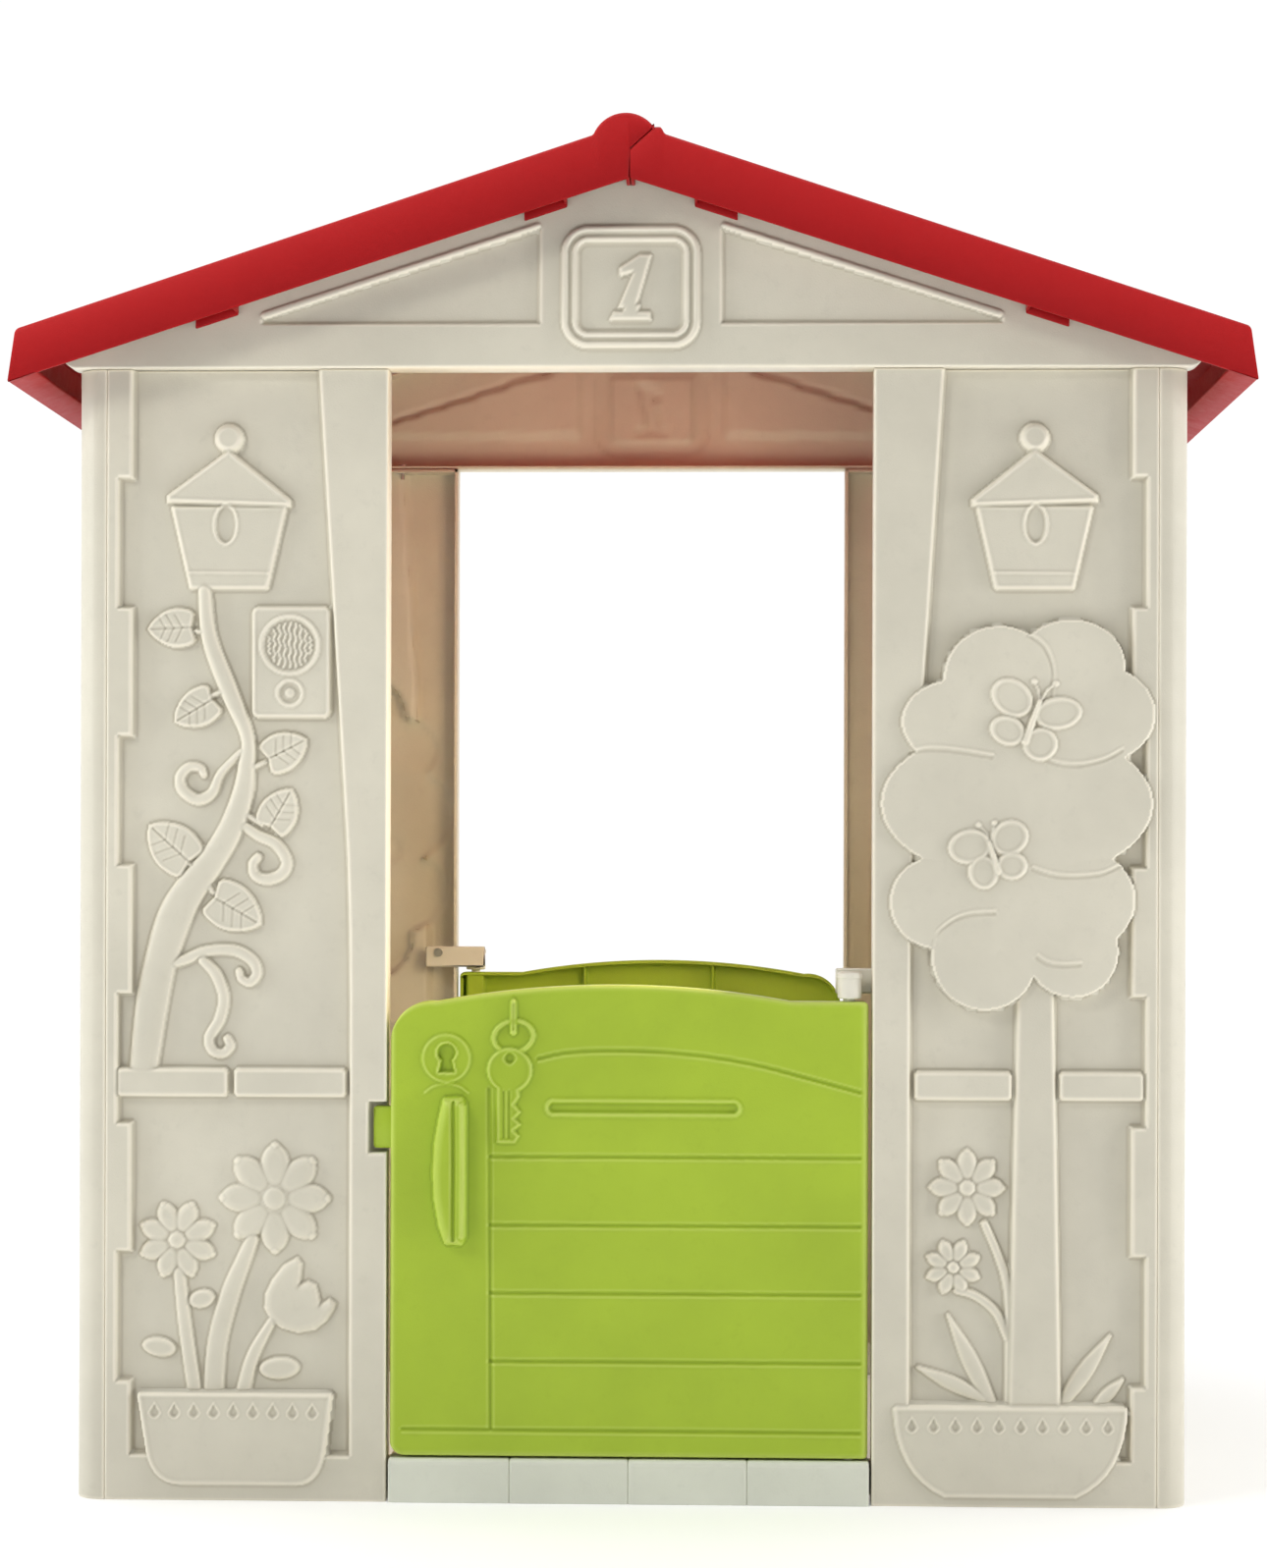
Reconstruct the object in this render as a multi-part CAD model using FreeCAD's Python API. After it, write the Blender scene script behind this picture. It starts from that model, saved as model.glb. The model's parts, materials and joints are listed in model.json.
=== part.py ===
"""Plastic playhouse: moulded wall panels, gables, a two-piece roof, thresholds and two half doors.

Millimetres, +Z up. The origin is on the floor under the middle of the house, the front faces -Y.
The back wall is the front wall turned half a turn about Z, as the real mouldings are shared.
Every moulding is a single skin with turned-in edges, hollow on its inner side.
"""
import FreeCAD
import Part
import math
import os

V = FreeCAD.Vector

# Driving dimensions
WALL_X = 518.0          # half width over the side walls
WALL_Y = 395.0          # half depth over the front and back panels
WALL_Z = 1056.0         # height of the walls
SKIN = 3.5              # thickness of every wall moulding
EDGE = 32.0             # depth of the turned-in edges
SEAM_X = 489.5          # where a panel meets the corner of a side wall
DOORWAY_X = 226.0       # half width of the doorway
FIELD = 10.0            # how far the decorated field lies below the frame around it
CORNER_R = 25.0         # rounding of the house's upright corners

QUOIN_WIDE = 465.0      # inner edge of a long corner stone
QUOIN_NARROW = 478.0    # inner edge of a short corner stone
QUOIN_TOP = 954.3       # lower edge of the topmost long stone
QUOIN_PITCH = 120.4     # height of one stone
QUOIN_STEPS = 8
FIELD_BOTTOM = 43.0     # height of the field's lower edge

SLOPE = 0.3316          # rise over run of the roof
RIDGE_Z = 1275.0        # height where the two slopes would meet
EAVE_X = 567.0          # half width at the eave's upper corner
EAVE_FOOT_X = 573.0     # half width at the eave's lower edge
EAVE_FOOT_Z = 1038.0
FASCIA_PEAK_Z = 1224.0  # lower edge of the gable-end fascia at the ridge
ROOF_Y = 440.0          # half length of the roof
ROOF_SKIN = 4.0
ROLL_X = -4.0           # centre of the ridge roll, which belongs to the left roof panel
ROLL_Z = 1252.0
ROLL_R = 32.0

GABLE_PROUD = 4.0       # how far a gable stands in front of the panels
GABLE_TIP_X = 531.0

DOOR_X = 222.5          # half width of a door
DOOR_FOOT_Z = 43.0
DOOR_HEAD_Z = 467.6     # top of the door beside its hinge
DOOR_PEAK_Z = 482.2     # top of the door's arch
DOOR_THICK = 26.0
THRESHOLD_Z = 41.2
THRESHOLD_X = 219.5

HINGE_X = 205.0         # upright hinge axis
HINGE_Y = -WALL_Y + DOOR_THICK / 2
PIN_R = 5.0
PIN_CLEARANCE = 0.06    # radial running clearance of a pin in its bracket or threshold
PIN_GRIP = 0.02         # radial gap of a pin pressed into the door
UPPER_PIN_Z = (428.0, 490.0)
LOWER_PIN_Z = (18.05, 84.0)

SCREW_R = 2.1
SCREW_HOLE_R = 2.2
SCREW_HEAD_R = 5.0
SCREW_HEAD = 3.0
BOSS_R = 6.5
BOSS_X = 247.0          # upright line of the screw bosses beside the doorway
BRACKET_BOSS_Z = 491.0
THRESHOLD_BOSS_Z = 22.0

WINDOW_Y = 180.0        # half width of a side window
WINDOW_Z = (480.0, 860.0)
WINDOW_FRAME = 28.0
WINDOW_BAR = 22.0
PANE_R = 3.5            # corner radius of a window pane


# Placing flat outlines: u runs across a wall, v runs up, d is depth inward from its outer face
def front(u, v, d):
    return V(u, -WALL_Y + d, v)


def side(u, v, d):
    return V(WALL_X - d, u, v)


def end(u, v, d):
    """Across the roof: d runs along the ridge from the middle of the house."""
    return V(u, d, v)


def wire(path, place, d):
    """Closed wire from (u, v) corners; a step (u, v, mid_u, mid_v) is an arc through its middle point."""
    here = place(path[0][0], path[0][1], d)
    edges = []
    for step in path[1:] + [path[0][:2]]:
        there = place(step[0], step[1], d)
        if len(step) == 4:
            edges.append(Part.Arc(here, place(step[2], step[3], d), there).toShape())
        elif (there - here).Length > 1e-6:
            edges.append(Part.makeLine(here, there))
        here = there
    return Part.Wire(edges)


def prism(path, d0, d1, place=front):
    face = Part.Face(wire(path, place, d0))
    return face.extrude(place(0, 0, d1) - place(0, 0, d0))


def block(u0, v0, u1, v1, d0, d1, place=front):
    return prism([(u0, v0), (u1, v0), (u1, v1), (u0, v1)], d0, d1, place)


def disc(u, v, r, d0, d1, place=front):
    start = place(u, v, d0)
    axis = place(u, v, d1) - start
    return Part.makeCylinder(r, axis.Length, start, axis)


def rounded(u0, v0, u1, v1, r):
    """Outline of an upright rectangle with round corners."""
    k = r * (1 - math.sqrt(0.5))
    return [(u0 + r, v0), (u1 - r, v0), (u1, v0 + r, u1 - k, v0 + k),
            (u1, v1 - r), (u1 - r, v1, u1 - k, v1 - k),
            (u0 + r, v1), (u0, v1 - r, u0 + k, v1 - k),
            (u0, v0 + r), (u0 + r, v0, u0 + k, v0 + k)]


def lens(u, v, length, width, angle):
    """Outline of a leaf: two arcs that meet at its tips."""
    a = math.radians(angle)
    tip = (math.cos(a) * length / 2, math.sin(a) * length / 2)
    rise = (-math.sin(a) * width / 2, math.cos(a) * width / 2)
    return [(u - tip[0], v - tip[1]),
            (u + tip[0], v + tip[1], u + rise[0], v + rise[1]),
            (u - tip[0], v - tip[1], u - rise[0], v - rise[1])]


def stroke(points, d0, d1):
    """A raised band that follows (u, v, width) points, with round ends and joints."""
    pieces = [disc(u, v, w / 2, d0, d1) for u, v, w in points]
    for (ua, va, wa), (ub, vb, wb) in zip(points, points[1:]):
        run = math.hypot(ub - ua, vb - va)
        nu, nv = (va - vb) / run / 2, (ub - ua) / run / 2
        quad = [(ua + nu * wa, va + nv * wa), (ua - nu * wa, va - nv * wa),
                (ub - nu * wb, vb - nv * wb), (ub + nu * wb, vb + nv * wb)]
        pieces.append(prism(quad, d0, d1))
    return pieces


def fuse(shape, pieces):
    return shape.multiFuse(pieces).removeSplitter() if pieces else shape


def cut(shape, pieces):
    return shape.cut(Part.makeCompound(pieces)) if pieces else shape


def mirrored(shape):
    return shape.mirror(V(0, 0, 0), V(1, 0, 0))


def half_turn(shape):
    """The same piece at the other end of the house."""
    turned = shape.copy()
    turned.rotate(V(0, 0, 0), V(0, 0, 1), 180)
    return turned


def save(name, shape):
    shape.exportStep(os.path.join("parts", name + ".step"))
    print(name, len(shape.Solids), shape.isValid(), round(shape.Volume / 1000.0, 1), "cm3")


def screw(start, direction, length):
    """Pan-head screw: the head's underside is at start and the shank runs along direction."""
    shank = Part.makeCylinder(SCREW_R, length, start, direction)
    head = Part.makeCylinder(SCREW_HEAD_R, SCREW_HEAD, start, direction * -1)
    return shank.fuse(head).removeSplitter()


# Front and back wall panels, made for the +X side of the doorway
def quoin_steps(wide, narrow, grow):
    """Corner-stone edge of a field from the bottom up, its hollow grown sideways and up and down."""
    points = [(wide + grow, FIELD_BOTTOM - grow)]
    for i in reversed(range(QUOIN_STEPS)):
        to_narrow = i % 2 == 1
        v = QUOIN_TOP - i * QUOIN_PITCH + (-grow if to_narrow else grow)
        a, b = (wide, narrow) if to_narrow else (narrow, wide)
        points += [(a + grow, v), (b + grow, v)]
    return points + [(wide + grow, WALL_Z - SKIN)]


def field_outline(grow=0.0):
    """Recessed field: a slanted, gently curved edge beside the doorway, corner stones opposite."""
    return (quoin_steps(QUOIN_WIDE, QUOIN_NARROW, grow)
            + [(292.0 - grow, WALL_Z - SKIN), (272.0 - grow, 740.0),
               (261.0 - grow, 470.0, 263.5 - grow, 600.0), (261.0 - grow, FIELD_BOTTOM - grow)])


def panel_tray():
    """Frame, turned-in edges and recessed field, open towards the inside of the house."""
    outer = block(DOORWAY_X, 0, SEAM_X, WALL_Z, 0, EDGE)
    tray = cut(outer, [block(DOORWAY_X + SKIN, SKIN, SEAM_X - SKIN, WALL_Z - SKIN, SKIN, EDGE)])
    tray = fuse(tray, [prism(field_outline(SKIN), 0, FIELD + SKIN)])
    return cut(tray, [prism(field_outline(), 0, FIELD)])


def panel_fixings(tray, bracket):
    """Bosses for the threshold and, on the hinge side, for the bracket, and holes for the screws."""
    heights = [THRESHOLD_BOSS_Z] + ([BRACKET_BOSS_Z] if bracket else [])
    tray = fuse(tray, [disc(BOSS_X, v, BOSS_R, SKIN / 2, EDGE) for v in heights])
    holes = [disc(BOSS_X, v, SCREW_HOLE_R, SKIN, EDGE) for v in heights]
    holes += [Part.makeCylinder(SCREW_HOLE_R, 10, V(SEAM_X - 5, y, z), V(1, 0, 0))
              for y, z in corner_screw_places()]
    holes += [Part.makeCylinder(SCREW_HOLE_R, 10, V(x, y, WALL_Z - 5), V(0, 0, 1))
              for x, y in gable_screw_places()]
    return cut(tray, holes)


def corner_screw_places():
    return [(-WALL_Y + 20, z) for z in (150.0, 530.0, 900.0)]


def gable_screw_places():
    return [(x, -WALL_Y + 21) for x in (292.0, 503.0)]


def birdhouse(u):
    """Tapered box under a pointed roof, with an oval hole and a ball on top."""
    roof = [(u - 59, 938), (u - 59, 929), (u + 59, 929), (u + 59, 938), (u, 983)]
    box = [(u - 55, 929), (u - 37, 850), (u + 37, 850), (u + 55, 929)]
    return [prism(roof, 0, FIELD + 1), prism(box, 2, FIELD + 1),
            disc(u, 991.5, 14, 0, FIELD + 1), disc(u, 911, 17, 0, FIELD + 1)]


def daisy(u, v, r):
    """Eight round petals about a button."""
    petals = [disc(u + 0.62 * r * math.cos(a), v + 0.62 * r * math.sin(a), 0.3 * r, 3, FIELD + 1)
              for a in (math.pi / 8 + i * math.pi / 4 for i in range(8))]
    return petals + [disc(u, v, 0.45 * r, 3, FIELD + 1), disc(u, v, 0.2 * r, 0, FIELD + 1)]


def ledge(u0, u1):
    return prism(rounded(u0, 376, u1, 404, 5), 0.5, FIELD + 1)


def vine_relief():
    """Decoration of the vine panel, which stands left of the front doorway."""
    stem = [(398, 850, 13), (392, 800, 16), (360, 714, 15), (360, 660, 21), (391, 598, 27),
            (427, 543, 34), (444, 480, 32), (453, 406, 28)]
    stem = [(-u, v, w) for u, v, w in stem]
    pieces = birdhouse(-375.0) + stroke(stem, 3, FIELD + 1)
    leaves = [(-429, 815, 47, 34, 180), (-407, 738, 52, 34, 225), (-322, 701, 50, 34, 35),
              (-327, 645, 52, 34, 48), (-429, 611, 64, 42, 140), (-369, 552, 64, 40, 320)]
    pieces += [prism(lens(*leaf), 4, FIELD + 1) for leaf in leaves]
    pieces += [prism(rounded(-354, 730, -279, 835, 5), 3, FIELD + 1), disc(-317.5, 799, 28, 2, FIELD + 1),
               ledge(-478, -374), ledge(-370, -264)]
    pieces += daisy(-331.0, 282.0, 53.0) + daisy(-422.5, 242.5, 38.5)
    pieces += [disc(-307, 190, 33, 3, FIELD + 1)]
    pieces += stroke([(-421, 209, 12), (-414, 156, 13), (-405, 90, 14)], 4, FIELD + 1)
    pieces += stroke([(-352, 240, 14), (-373, 192, 16), (-386, 90, 19)], 4, FIELD + 1)
    pieces += stroke([(-333, 165, 14), (-351, 133, 11), (-361, 90, 9)], 4, FIELD + 1)
    pot = [(-460, 102), (-457, 83), (-446, 76), (-434, 22), (-425, 14), (-307, 14),
           (-298, 22), (-287, 76), (-278, 83), (-275, 102)]
    return pieces + [prism(pot, -4, FIELD + 1)]


def tree_relief():
    """Decoration of the tree panel."""
    lobes = [(343, 766, 52), (408, 782, 40), (430, 745, 37), (290.5, 727, 36), (300, 650, 58),
             (360, 650, 60), (415, 650, 60), (282, 560, 42), (429, 565, 39), (327, 507, 46),
             (415, 512, 39), (360, 590, 50)]
    pieces = birdhouse(375.0)
    pieces += [disc(u, v, r, -3, FIELD + 1) for u, v, r in lobes]
    pieces += [prism([(351, 90), (402, 90), (396, 470), (358, 470)], 0, FIELD + 1),
               ledge(264, 356), ledge(398, 478)]
    pieces += daisy(314.0, 295.5, 36.5) + daisy(301.5, 221.5, 27.5)
    pieces += stroke([(330, 267, 9), (352, 201, 9), (353, 120, 10)], 4, FIELD + 1)
    blades = [(318, 136, 90, 22, 297), (298, 117, 62, 20, 338), (424, 129, 72, 20, 53), (446, 106, 34, 16, 43)]
    pieces += [prism(lens(*blade), 4, FIELD + 1) for blade in blades]
    pot = [(244, 94), (245, 73), (290, 8, 250.2, 28.7), (417, 8), (462, 73, 456.8, 28.7), (463, 94)]
    return pieces + [prism(pot, -4, FIELD + 1)]


def vine_panel():
    """Left of the front doorway; its doorway edge has the notch that the door's stop tab rests in."""
    panel = fuse(mirrored(panel_fixings(panel_tray(), False)), vine_relief())
    pocket = block(-246, 322, -DOORWAY_X, 376, 0, 20)
    notch = block(-242, 326, -DOORWAY_X, 372, 0, 16)
    return fuse(panel, [pocket]).cut(notch)


def tree_panel():
    return fuse(panel_fixings(panel_tray(), True), tree_relief())


# Side walls, made for the +X side
def wall_profile(inset):
    """Plan of the rounded wall, drawn inside its outer faces by inset."""
    x, y, r = WALL_X - inset, WALL_Y - inset, CORNER_R - inset
    k = r * (1 - math.sqrt(0.5))
    foot = SEAM_X + (SKIN if inset else 0)
    return [(foot, -y), (x - r, -y), (x, -y + r, x - k, -y + k), (x, y - r), (x - r, y, x - k, y - k), (foot, y)]


def plan_prism(path, z0, z1):
    face = Part.Face(wire(path, lambda u, v, d: V(u, v, d), z0))
    return face.extrude(V(0, 0, z1 - z0))


def side_field(grow=0.0):
    """Recessed field of a side wall, with corner stones on both edges."""
    shift = QUOIN_WIDE - 345.0
    right = [(u - shift, v) for u, v in quoin_steps(QUOIN_WIDE, QUOIN_NARROW, grow)]
    return right + [(-u, v) for u, v in reversed(right)]


def side_wall():
    """Rounded corners returned onto the front and back, and one window with crossed bars."""
    low, high = WINDOW_Z
    depth = WALL_X - SEAM_X
    wall = plan_prism(wall_profile(0), 0, WALL_Z)
    hollow = plan_prism(wall_profile(SKIN), SKIN, WALL_Z - SKIN)
    reach = WALL_Y - EDGE
    mouth = Part.makeBox(2 * SKIN, 2 * reach, WALL_Z - 2 * SKIN, V(SEAM_X - SKIN, -reach, SKIN))
    wall = cut(wall, [hollow, mouth])
    wall = fuse(wall, [prism(side_field(SKIN), 0, FIELD + SKIN, side)])
    wall = cut(wall, [prism(side_field(), 0, FIELD, side)])
    f = WINDOW_FRAME
    frame = prism(rounded(-WINDOW_Y - f, low - f, WINDOW_Y + f, high + f, 30), -1, depth, side)
    sill = prism(rounded(-WINDOW_Y - f - 14, low - f - 14, WINDOW_Y + f + 14, low - f + 8, 6), -8, FIELD + 1, side)
    box = prism([(-170, 430), (-140, 318), (140, 318), (170, 430)], -4, FIELD + 1, side)
    ledges = [prism(rounded(u, 376, u + 110, 404, 5), 0.5, FIELD + 1, side) for u in (-332, 222)]
    wall = fuse(wall, [frame, sill, box] + ledges)
    b = WINDOW_BAR / 2
    middle = (low + high) / 2
    panes = [prism(rounded(min(u, b * s), min(v, w), max(u, b * s), max(v, w), PANE_R), -20, depth + 20, side)
             for s, u in ((-1, -WINDOW_Y), (1, WINDOW_Y))
             for v, w in ((low, middle - b), (high, middle + b))]
    wall = cut(wall, panes)
    holes = [Part.makeCylinder(SCREW_HOLE_R, 10, V(SEAM_X - 5, s * y, z), V(1, 0, 0))
             for y, z in corner_screw_places() for s in (-1, 1)]
    holes += [Part.makeCylinder(SCREW_HOLE_R, 10, V(gable_screw_places()[1][0], s * gable_screw_places()[1][1],
                                                    WALL_Z - 5), V(0, 0, 1)) for s in (-1, 1)]
    return cut(wall, holes)


# Gables
def roof_z(x):
    """Height of the roof's outer slope."""
    return RIDGE_Z - SLOPE * abs(x)


def gable_outline(inset):
    """House-shaped board under the roof, cut square at the top to pass below the ridge joint."""
    drop = ROOF_SKIN * math.hypot(1, SLOPE) + 0.6 + inset
    foot, tip, r = WALL_Z + inset, GABLE_TIP_X - inset, 14 - inset
    k = r * (1 - math.sqrt(0.5))
    head = 1222.0 - inset
    flat = (RIDGE_Z - drop - head) / SLOPE
    return [(-tip + r, foot), (tip - r, foot), (tip, foot + r, tip - k, foot + k),
            (tip, roof_z(tip) - drop), (flat, head), (-flat, head), (-tip, roof_z(tip) - drop),
            (-tip, foot + r), (-tip + r, foot, -tip + k, foot + k)]


def gable():
    face, back = -GABLE_PROUD, EDGE - GABLE_PROUD
    board = prism(gable_outline(0), face, back)
    board = cut(board, [prism(gable_outline(SKIN), face + SKIN, back)])
    for s in (-1, 1):
        for grow, cutting in ((SKIN, False), (0.0, True)):
            triangle = [(s * (85 - grow), 1096 - grow), (s * (343 + 2 * grow), 1096 - grow),
                        (s * (343 + 2 * grow), 1103 + grow), (s * (85 - grow), 1185 + grow)]
            shape = prism(triangle, face, face + 5 + (0 if cutting else SKIN))
            board = board.cut(shape) if cutting else board.fuse(shape)
    badge = prism(rounded(-65, 1073, 65, 1188, 24), face - 5, face + SKIN)
    tablet = prism(rounded(-52, 1086, 52, 1179, 16), face - 5, face - 1)
    numeral = [block(-5, 1106, 5, 1160, face - 4, face), block(-20, 1098, 20, 1107, face - 4, face)]
    board = fuse(board, [badge]).cut(tablet)
    holes = [Part.makeCylinder(SCREW_HOLE_R, 10, V(s * x, y, WALL_Z - 3), V(0, 0, 1))
             for x, y in gable_screw_places() for s in (-1, 1)]
    return cut(fuse(board, numeral), holes)


# Roof
def roof_shell(outer, hollow):
    """Prism along the ridge with a skin left at both gable ends."""
    shell = prism(outer, -ROOF_Y, ROOF_Y, end)
    inner = ROOF_Y - ROOF_SKIN
    return shell.cut(prism(hollow, -inner, inner, end))


def eave_lip(s):
    """Bottom flange of the eave, rising a little inward."""
    inner = ROOF_Y - ROOF_SKIN
    path = [(s * (EAVE_FOOT_X - 1), EAVE_FOOT_Z), (s * 546, EAVE_FOOT_Z + 9),
            (s * 546, EAVE_FOOT_Z + 13), (s * (EAVE_FOOT_X - 1), EAVE_FOOT_Z + 4)]
    return prism(path, -inner, inner, end)


def roof_lugs(s):
    """Tabs that hang in front of each gable and hook the roof to it."""
    reach = WALL_Y + GABLE_PROUD + 6.5
    lugs = []
    for y in (-reach, reach - 4):
        for x in (79.0, 385.0):
            low = FASCIA_PEAK_Z - 0.3246 * x - 8
            path = [(s * (x - 20), low + 6.5), (s * (x + 20), low - 6.5),
                    (s * (x + 20), roof_z(x + 20) - 2), (s * (x - 20), roof_z(x - 20) - 2)]
            lugs.append(prism(path, y, y + 4, end))
    return lugs


def ridge_screw_places():
    return [(y, 1237.0) for y in (-330.0, -110.0, 110.0, 330.0)]


def ridge_holes():
    return [Part.makeCylinder(SCREW_HOLE_R, 20, V(-10, y, z), V(1, 0, 0)) for y, z in ridge_screw_places()]


def left_roof():
    """Slope towards -X, with the roll that covers the ridge joint."""
    t = ROOF_SKIN
    drop = t * math.hypot(1, SLOPE)
    outer = [(0, FASCIA_PEAK_Z), (0, 1251), (22, 1271), (-34, roof_z(34), ROLL_X, ROLL_Z + ROLL_R),
             (-EAVE_X, roof_z(EAVE_X)), (-EAVE_FOOT_X, EAVE_FOOT_Z)]
    hollow = [(-t, 1000), (-t, 1252.5), (16.2, 1271.2),
              (-30.4, roof_z(30.4) - drop, ROLL_X, ROLL_Z + ROLL_R - t),
              (-EAVE_X + t, roof_z(EAVE_X - t) - drop), (-EAVE_FOOT_X + t, 1000)]
    shell = fuse(roof_shell(outer, hollow), [eave_lip(-1)] + roof_lugs(-1))
    return cut(shell, ridge_holes())


def right_roof():
    """Slope towards +X, whose upper edge tucks under the roll behind a small bead."""
    t = ROOF_SKIN
    drop = t * math.hypot(1, SLOPE)
    outer = [(0, FASCIA_PEAK_Z), (0, 1250.7), (22.3, 1270.8), (28, 1270.8), (32, roof_z(32)),
             (EAVE_X, roof_z(EAVE_X)), (EAVE_FOOT_X, EAVE_FOOT_Z)]
    hollow = [(t, 1000), (t, 1248.9), (23.8, 1266.6), (33, roof_z(33) - drop),
              (EAVE_X - t, roof_z(EAVE_X - t) - drop), (EAVE_FOOT_X - t, 1000)]
    shell = fuse(roof_shell(outer, hollow), [eave_lip(1)] + roof_lugs(1))
    return cut(shell, ridge_holes())


# Thresholds
def threshold():
    """Four moulded stones between the panels, with a lug behind each panel and the lower hinge bore."""
    length = 70.0
    sill = prism(rounded(-THRESHOLD_X, 0, THRESHOLD_X, THRESHOLD_Z, 5), -3, length)
    sill = cut(sill, [block(-THRESHOLD_X + 4, -1, THRESHOLD_X - 4, THRESHOLD_Z - 4, 1, length - 4)])
    boss = Part.makeCylinder(11, THRESHOLD_Z - 6, V(HINGE_X - 0.5, HINGE_Y, 4))
    lugs = [block(s * (THRESHOLD_X - 10), 4, s * 262, 38, EDGE, EDGE + 5) for s in (-1, 1)]
    sill = fuse(sill, [boss] + lugs)
    grooves = [block(u - 1.2, 0, u + 1.2, THRESHOLD_Z, -3, -1.8) for u in (-110.5, 0.0, 110.5)]
    grooves += [block(u - 1.2, THRESHOLD_Z - 1.2, u + 1.2, THRESHOLD_Z, -3, length) for u in (-110.5, 0.0, 110.5)]
    bore = Part.makeCylinder(PIN_R + PIN_CLEARANCE, THRESHOLD_Z, V(HINGE_X, HINGE_Y, LOWER_PIN_Z[0] - 0.05))
    holes = [disc(s * BOSS_X, THRESHOLD_BOSS_Z, SCREW_HOLE_R, EDGE - 1, EDGE + 6) for s in (-1, 1)]
    return cut(sill, grooves + [bore] + holes)


# Doors
def door_outline(inset):
    left, right, foot = -DOOR_X + inset, DOOR_X - inset, DOOR_FOOT_Z + inset
    head, peak = DOOR_HEAD_Z - inset, DOOR_PEAK_Z - inset
    r = 14.0 - inset
    k = r * (1 - math.sqrt(0.5))
    return [(left + r, foot), (right, foot), (right, head), (150, head),
            (-180, head - 1, -12, peak), (left, head - 40, left + 11, head - 12),
            (left, foot + r), (left + r, foot, left + k, foot + k)]


def door_tray():
    """Front skin with a deep rim; the upright edges are rounded so that the door clears its frame."""
    slab = prism(door_outline(0), 0, DOOR_THICK)
    upright = [e for e in slab.Edges if e.Length > 300 and abs(e.BoundBox.XMin - e.BoundBox.XMax) < 0.01
               and e.BoundBox.XMin > 0]
    slab = slab.makeFillet(8, upright)
    return slab.cut(prism(door_outline(SKIN), SKIN, DOOR_THICK))


def door_back():
    """Stiffening ribs and the two blocks that hold the hinge pins."""
    ribs = [block(-DOOR_X + 2, z, DOOR_X - 2, z + SKIN, SKIN / 2, DOOR_THICK - 4) for z in (150.0, 257.0, 364.0)]
    ribs += [block(x, DOOR_FOOT_Z + 2, x + SKIN, DOOR_HEAD_Z - 2, SKIN / 2, DOOR_THICK - 4) for x in (-75.0, 75.0)]
    blocks = [block(HINGE_X - 10, z0, HINGE_X + 11, z1, SKIN / 2, DOOR_THICK - 1)
              for z0, z1 in ((UPPER_PIN_Z[0] - 4, DOOR_HEAD_Z - 1), (DOOR_FOOT_Z + 1, LOWER_PIN_Z[1] + 4))]
    return ribs + blocks


def door_relief():
    """Handle bar, keyhole plate, hanging key, letter slot and the stop tab at the free edge."""
    handle = [(-177, 238), (-158, 238), (-152, 250), (-150.5, 310), (-152, 370), (-158, 380),
              (-177, 380), (-183, 310, -181, 350), (-177, 238, -181, 270)]
    key = [disc(-108, 403, 22, -2, SKIN), block(-120, 334, -101, 390, -2, SKIN), disc(-107, 434, 19, -2, SKIN)]
    plate = disc(-170, 413, 24, -2, SKIN)
    slot = prism(rounded(-80, 360, 105, 376, 7), -2, SKIN)
    tab = block(-238.5, 329.5, -DOOR_X + 4, 368.5, 3, 15.6)
    return [prism(handle, -14, SKIN), plate, slot, tab] + key


def door():
    shape = fuse(door_tray(), door_back() + door_relief())
    pins = [Part.makeCylinder(PIN_R + PIN_GRIP, 60, V(HINGE_X, HINGE_Y, z))
            for z in (UPPER_PIN_Z[0], LOWER_PIN_Z[1] - 60)]
    grooves = [block(-128, z - 1.5, 215, z + 1.5, -1, 1) for z in (323.0, 259.5, 195.5, 131.5)]
    grooves += [block(-210, 66, 215, 69, -1, 1), block(-130.5, 66, -127.5, 384, -1, 1)]
    keyhole = [disc(-170, 417, 9, -3, 1), block(-174, 398, -166, 416, -3, 1)]
    letter = prism(rounded(-74, 364, 99, 372, 4), -3, 1)
    return cut(shape, pins + grooves + keyhole + [letter])


def pin(low, high):
    """Hinge pin with chamfered ends."""
    body = Part.makeCylinder(PIN_R, high - low, V(HINGE_X, HINGE_Y, low))
    rims = [e for e in body.Edges if e.Curve.TypeId == "Part::GeomCircle"]
    return body.makeChamfer(0.8, rims)


def hinge_bracket():
    """Knuckle over the door's upper pin, on an arm screwed behind the panel."""
    knuckle = prism(rounded(HINGE_X - 13, 470, HINGE_X + 13, 499, 4), 1, EDGE)
    plate = prism(rounded(HINGE_X - 13, 474, 262, 503, 3), EDGE, EDGE + 5)
    bracket = fuse(knuckle, [plate])
    bore = Part.makeCylinder(PIN_R + PIN_CLEARANCE, UPPER_PIN_Z[1] + 1 - 465, V(HINGE_X, HINGE_Y, 465))
    return cut(bracket, [bore, disc(BOSS_X, BRACKET_BOSS_Z, SCREW_HOLE_R, EDGE - 1, EDGE + 6)])


# Screws
def both_ends(shapes):
    return Part.makeCompound(shapes + [half_turn(s) for s in shapes])


def corner_screws():
    """Through a panel's edge into the side wall's edge, driven from inside the panel."""
    right = [screw(V(SEAM_X - SKIN, y, z), V(1, 0, 0), 14) for y, z in corner_screw_places()]
    return both_ends(right + [mirrored(s) for s in right])


def gable_screws():
    """Down through a gable's lower edge into the panels and side walls."""
    right = [screw(V(x, y, WALL_Z + SKIN), V(0, 0, -1), 14) for x, y in gable_screw_places()]
    return both_ends(right + [mirrored(s) for s in right])


def bracket_screws():
    return both_ends([screw(front(BOSS_X, BRACKET_BOSS_Z, EDGE + 5), V(0, -1, 0), 24)])


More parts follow.
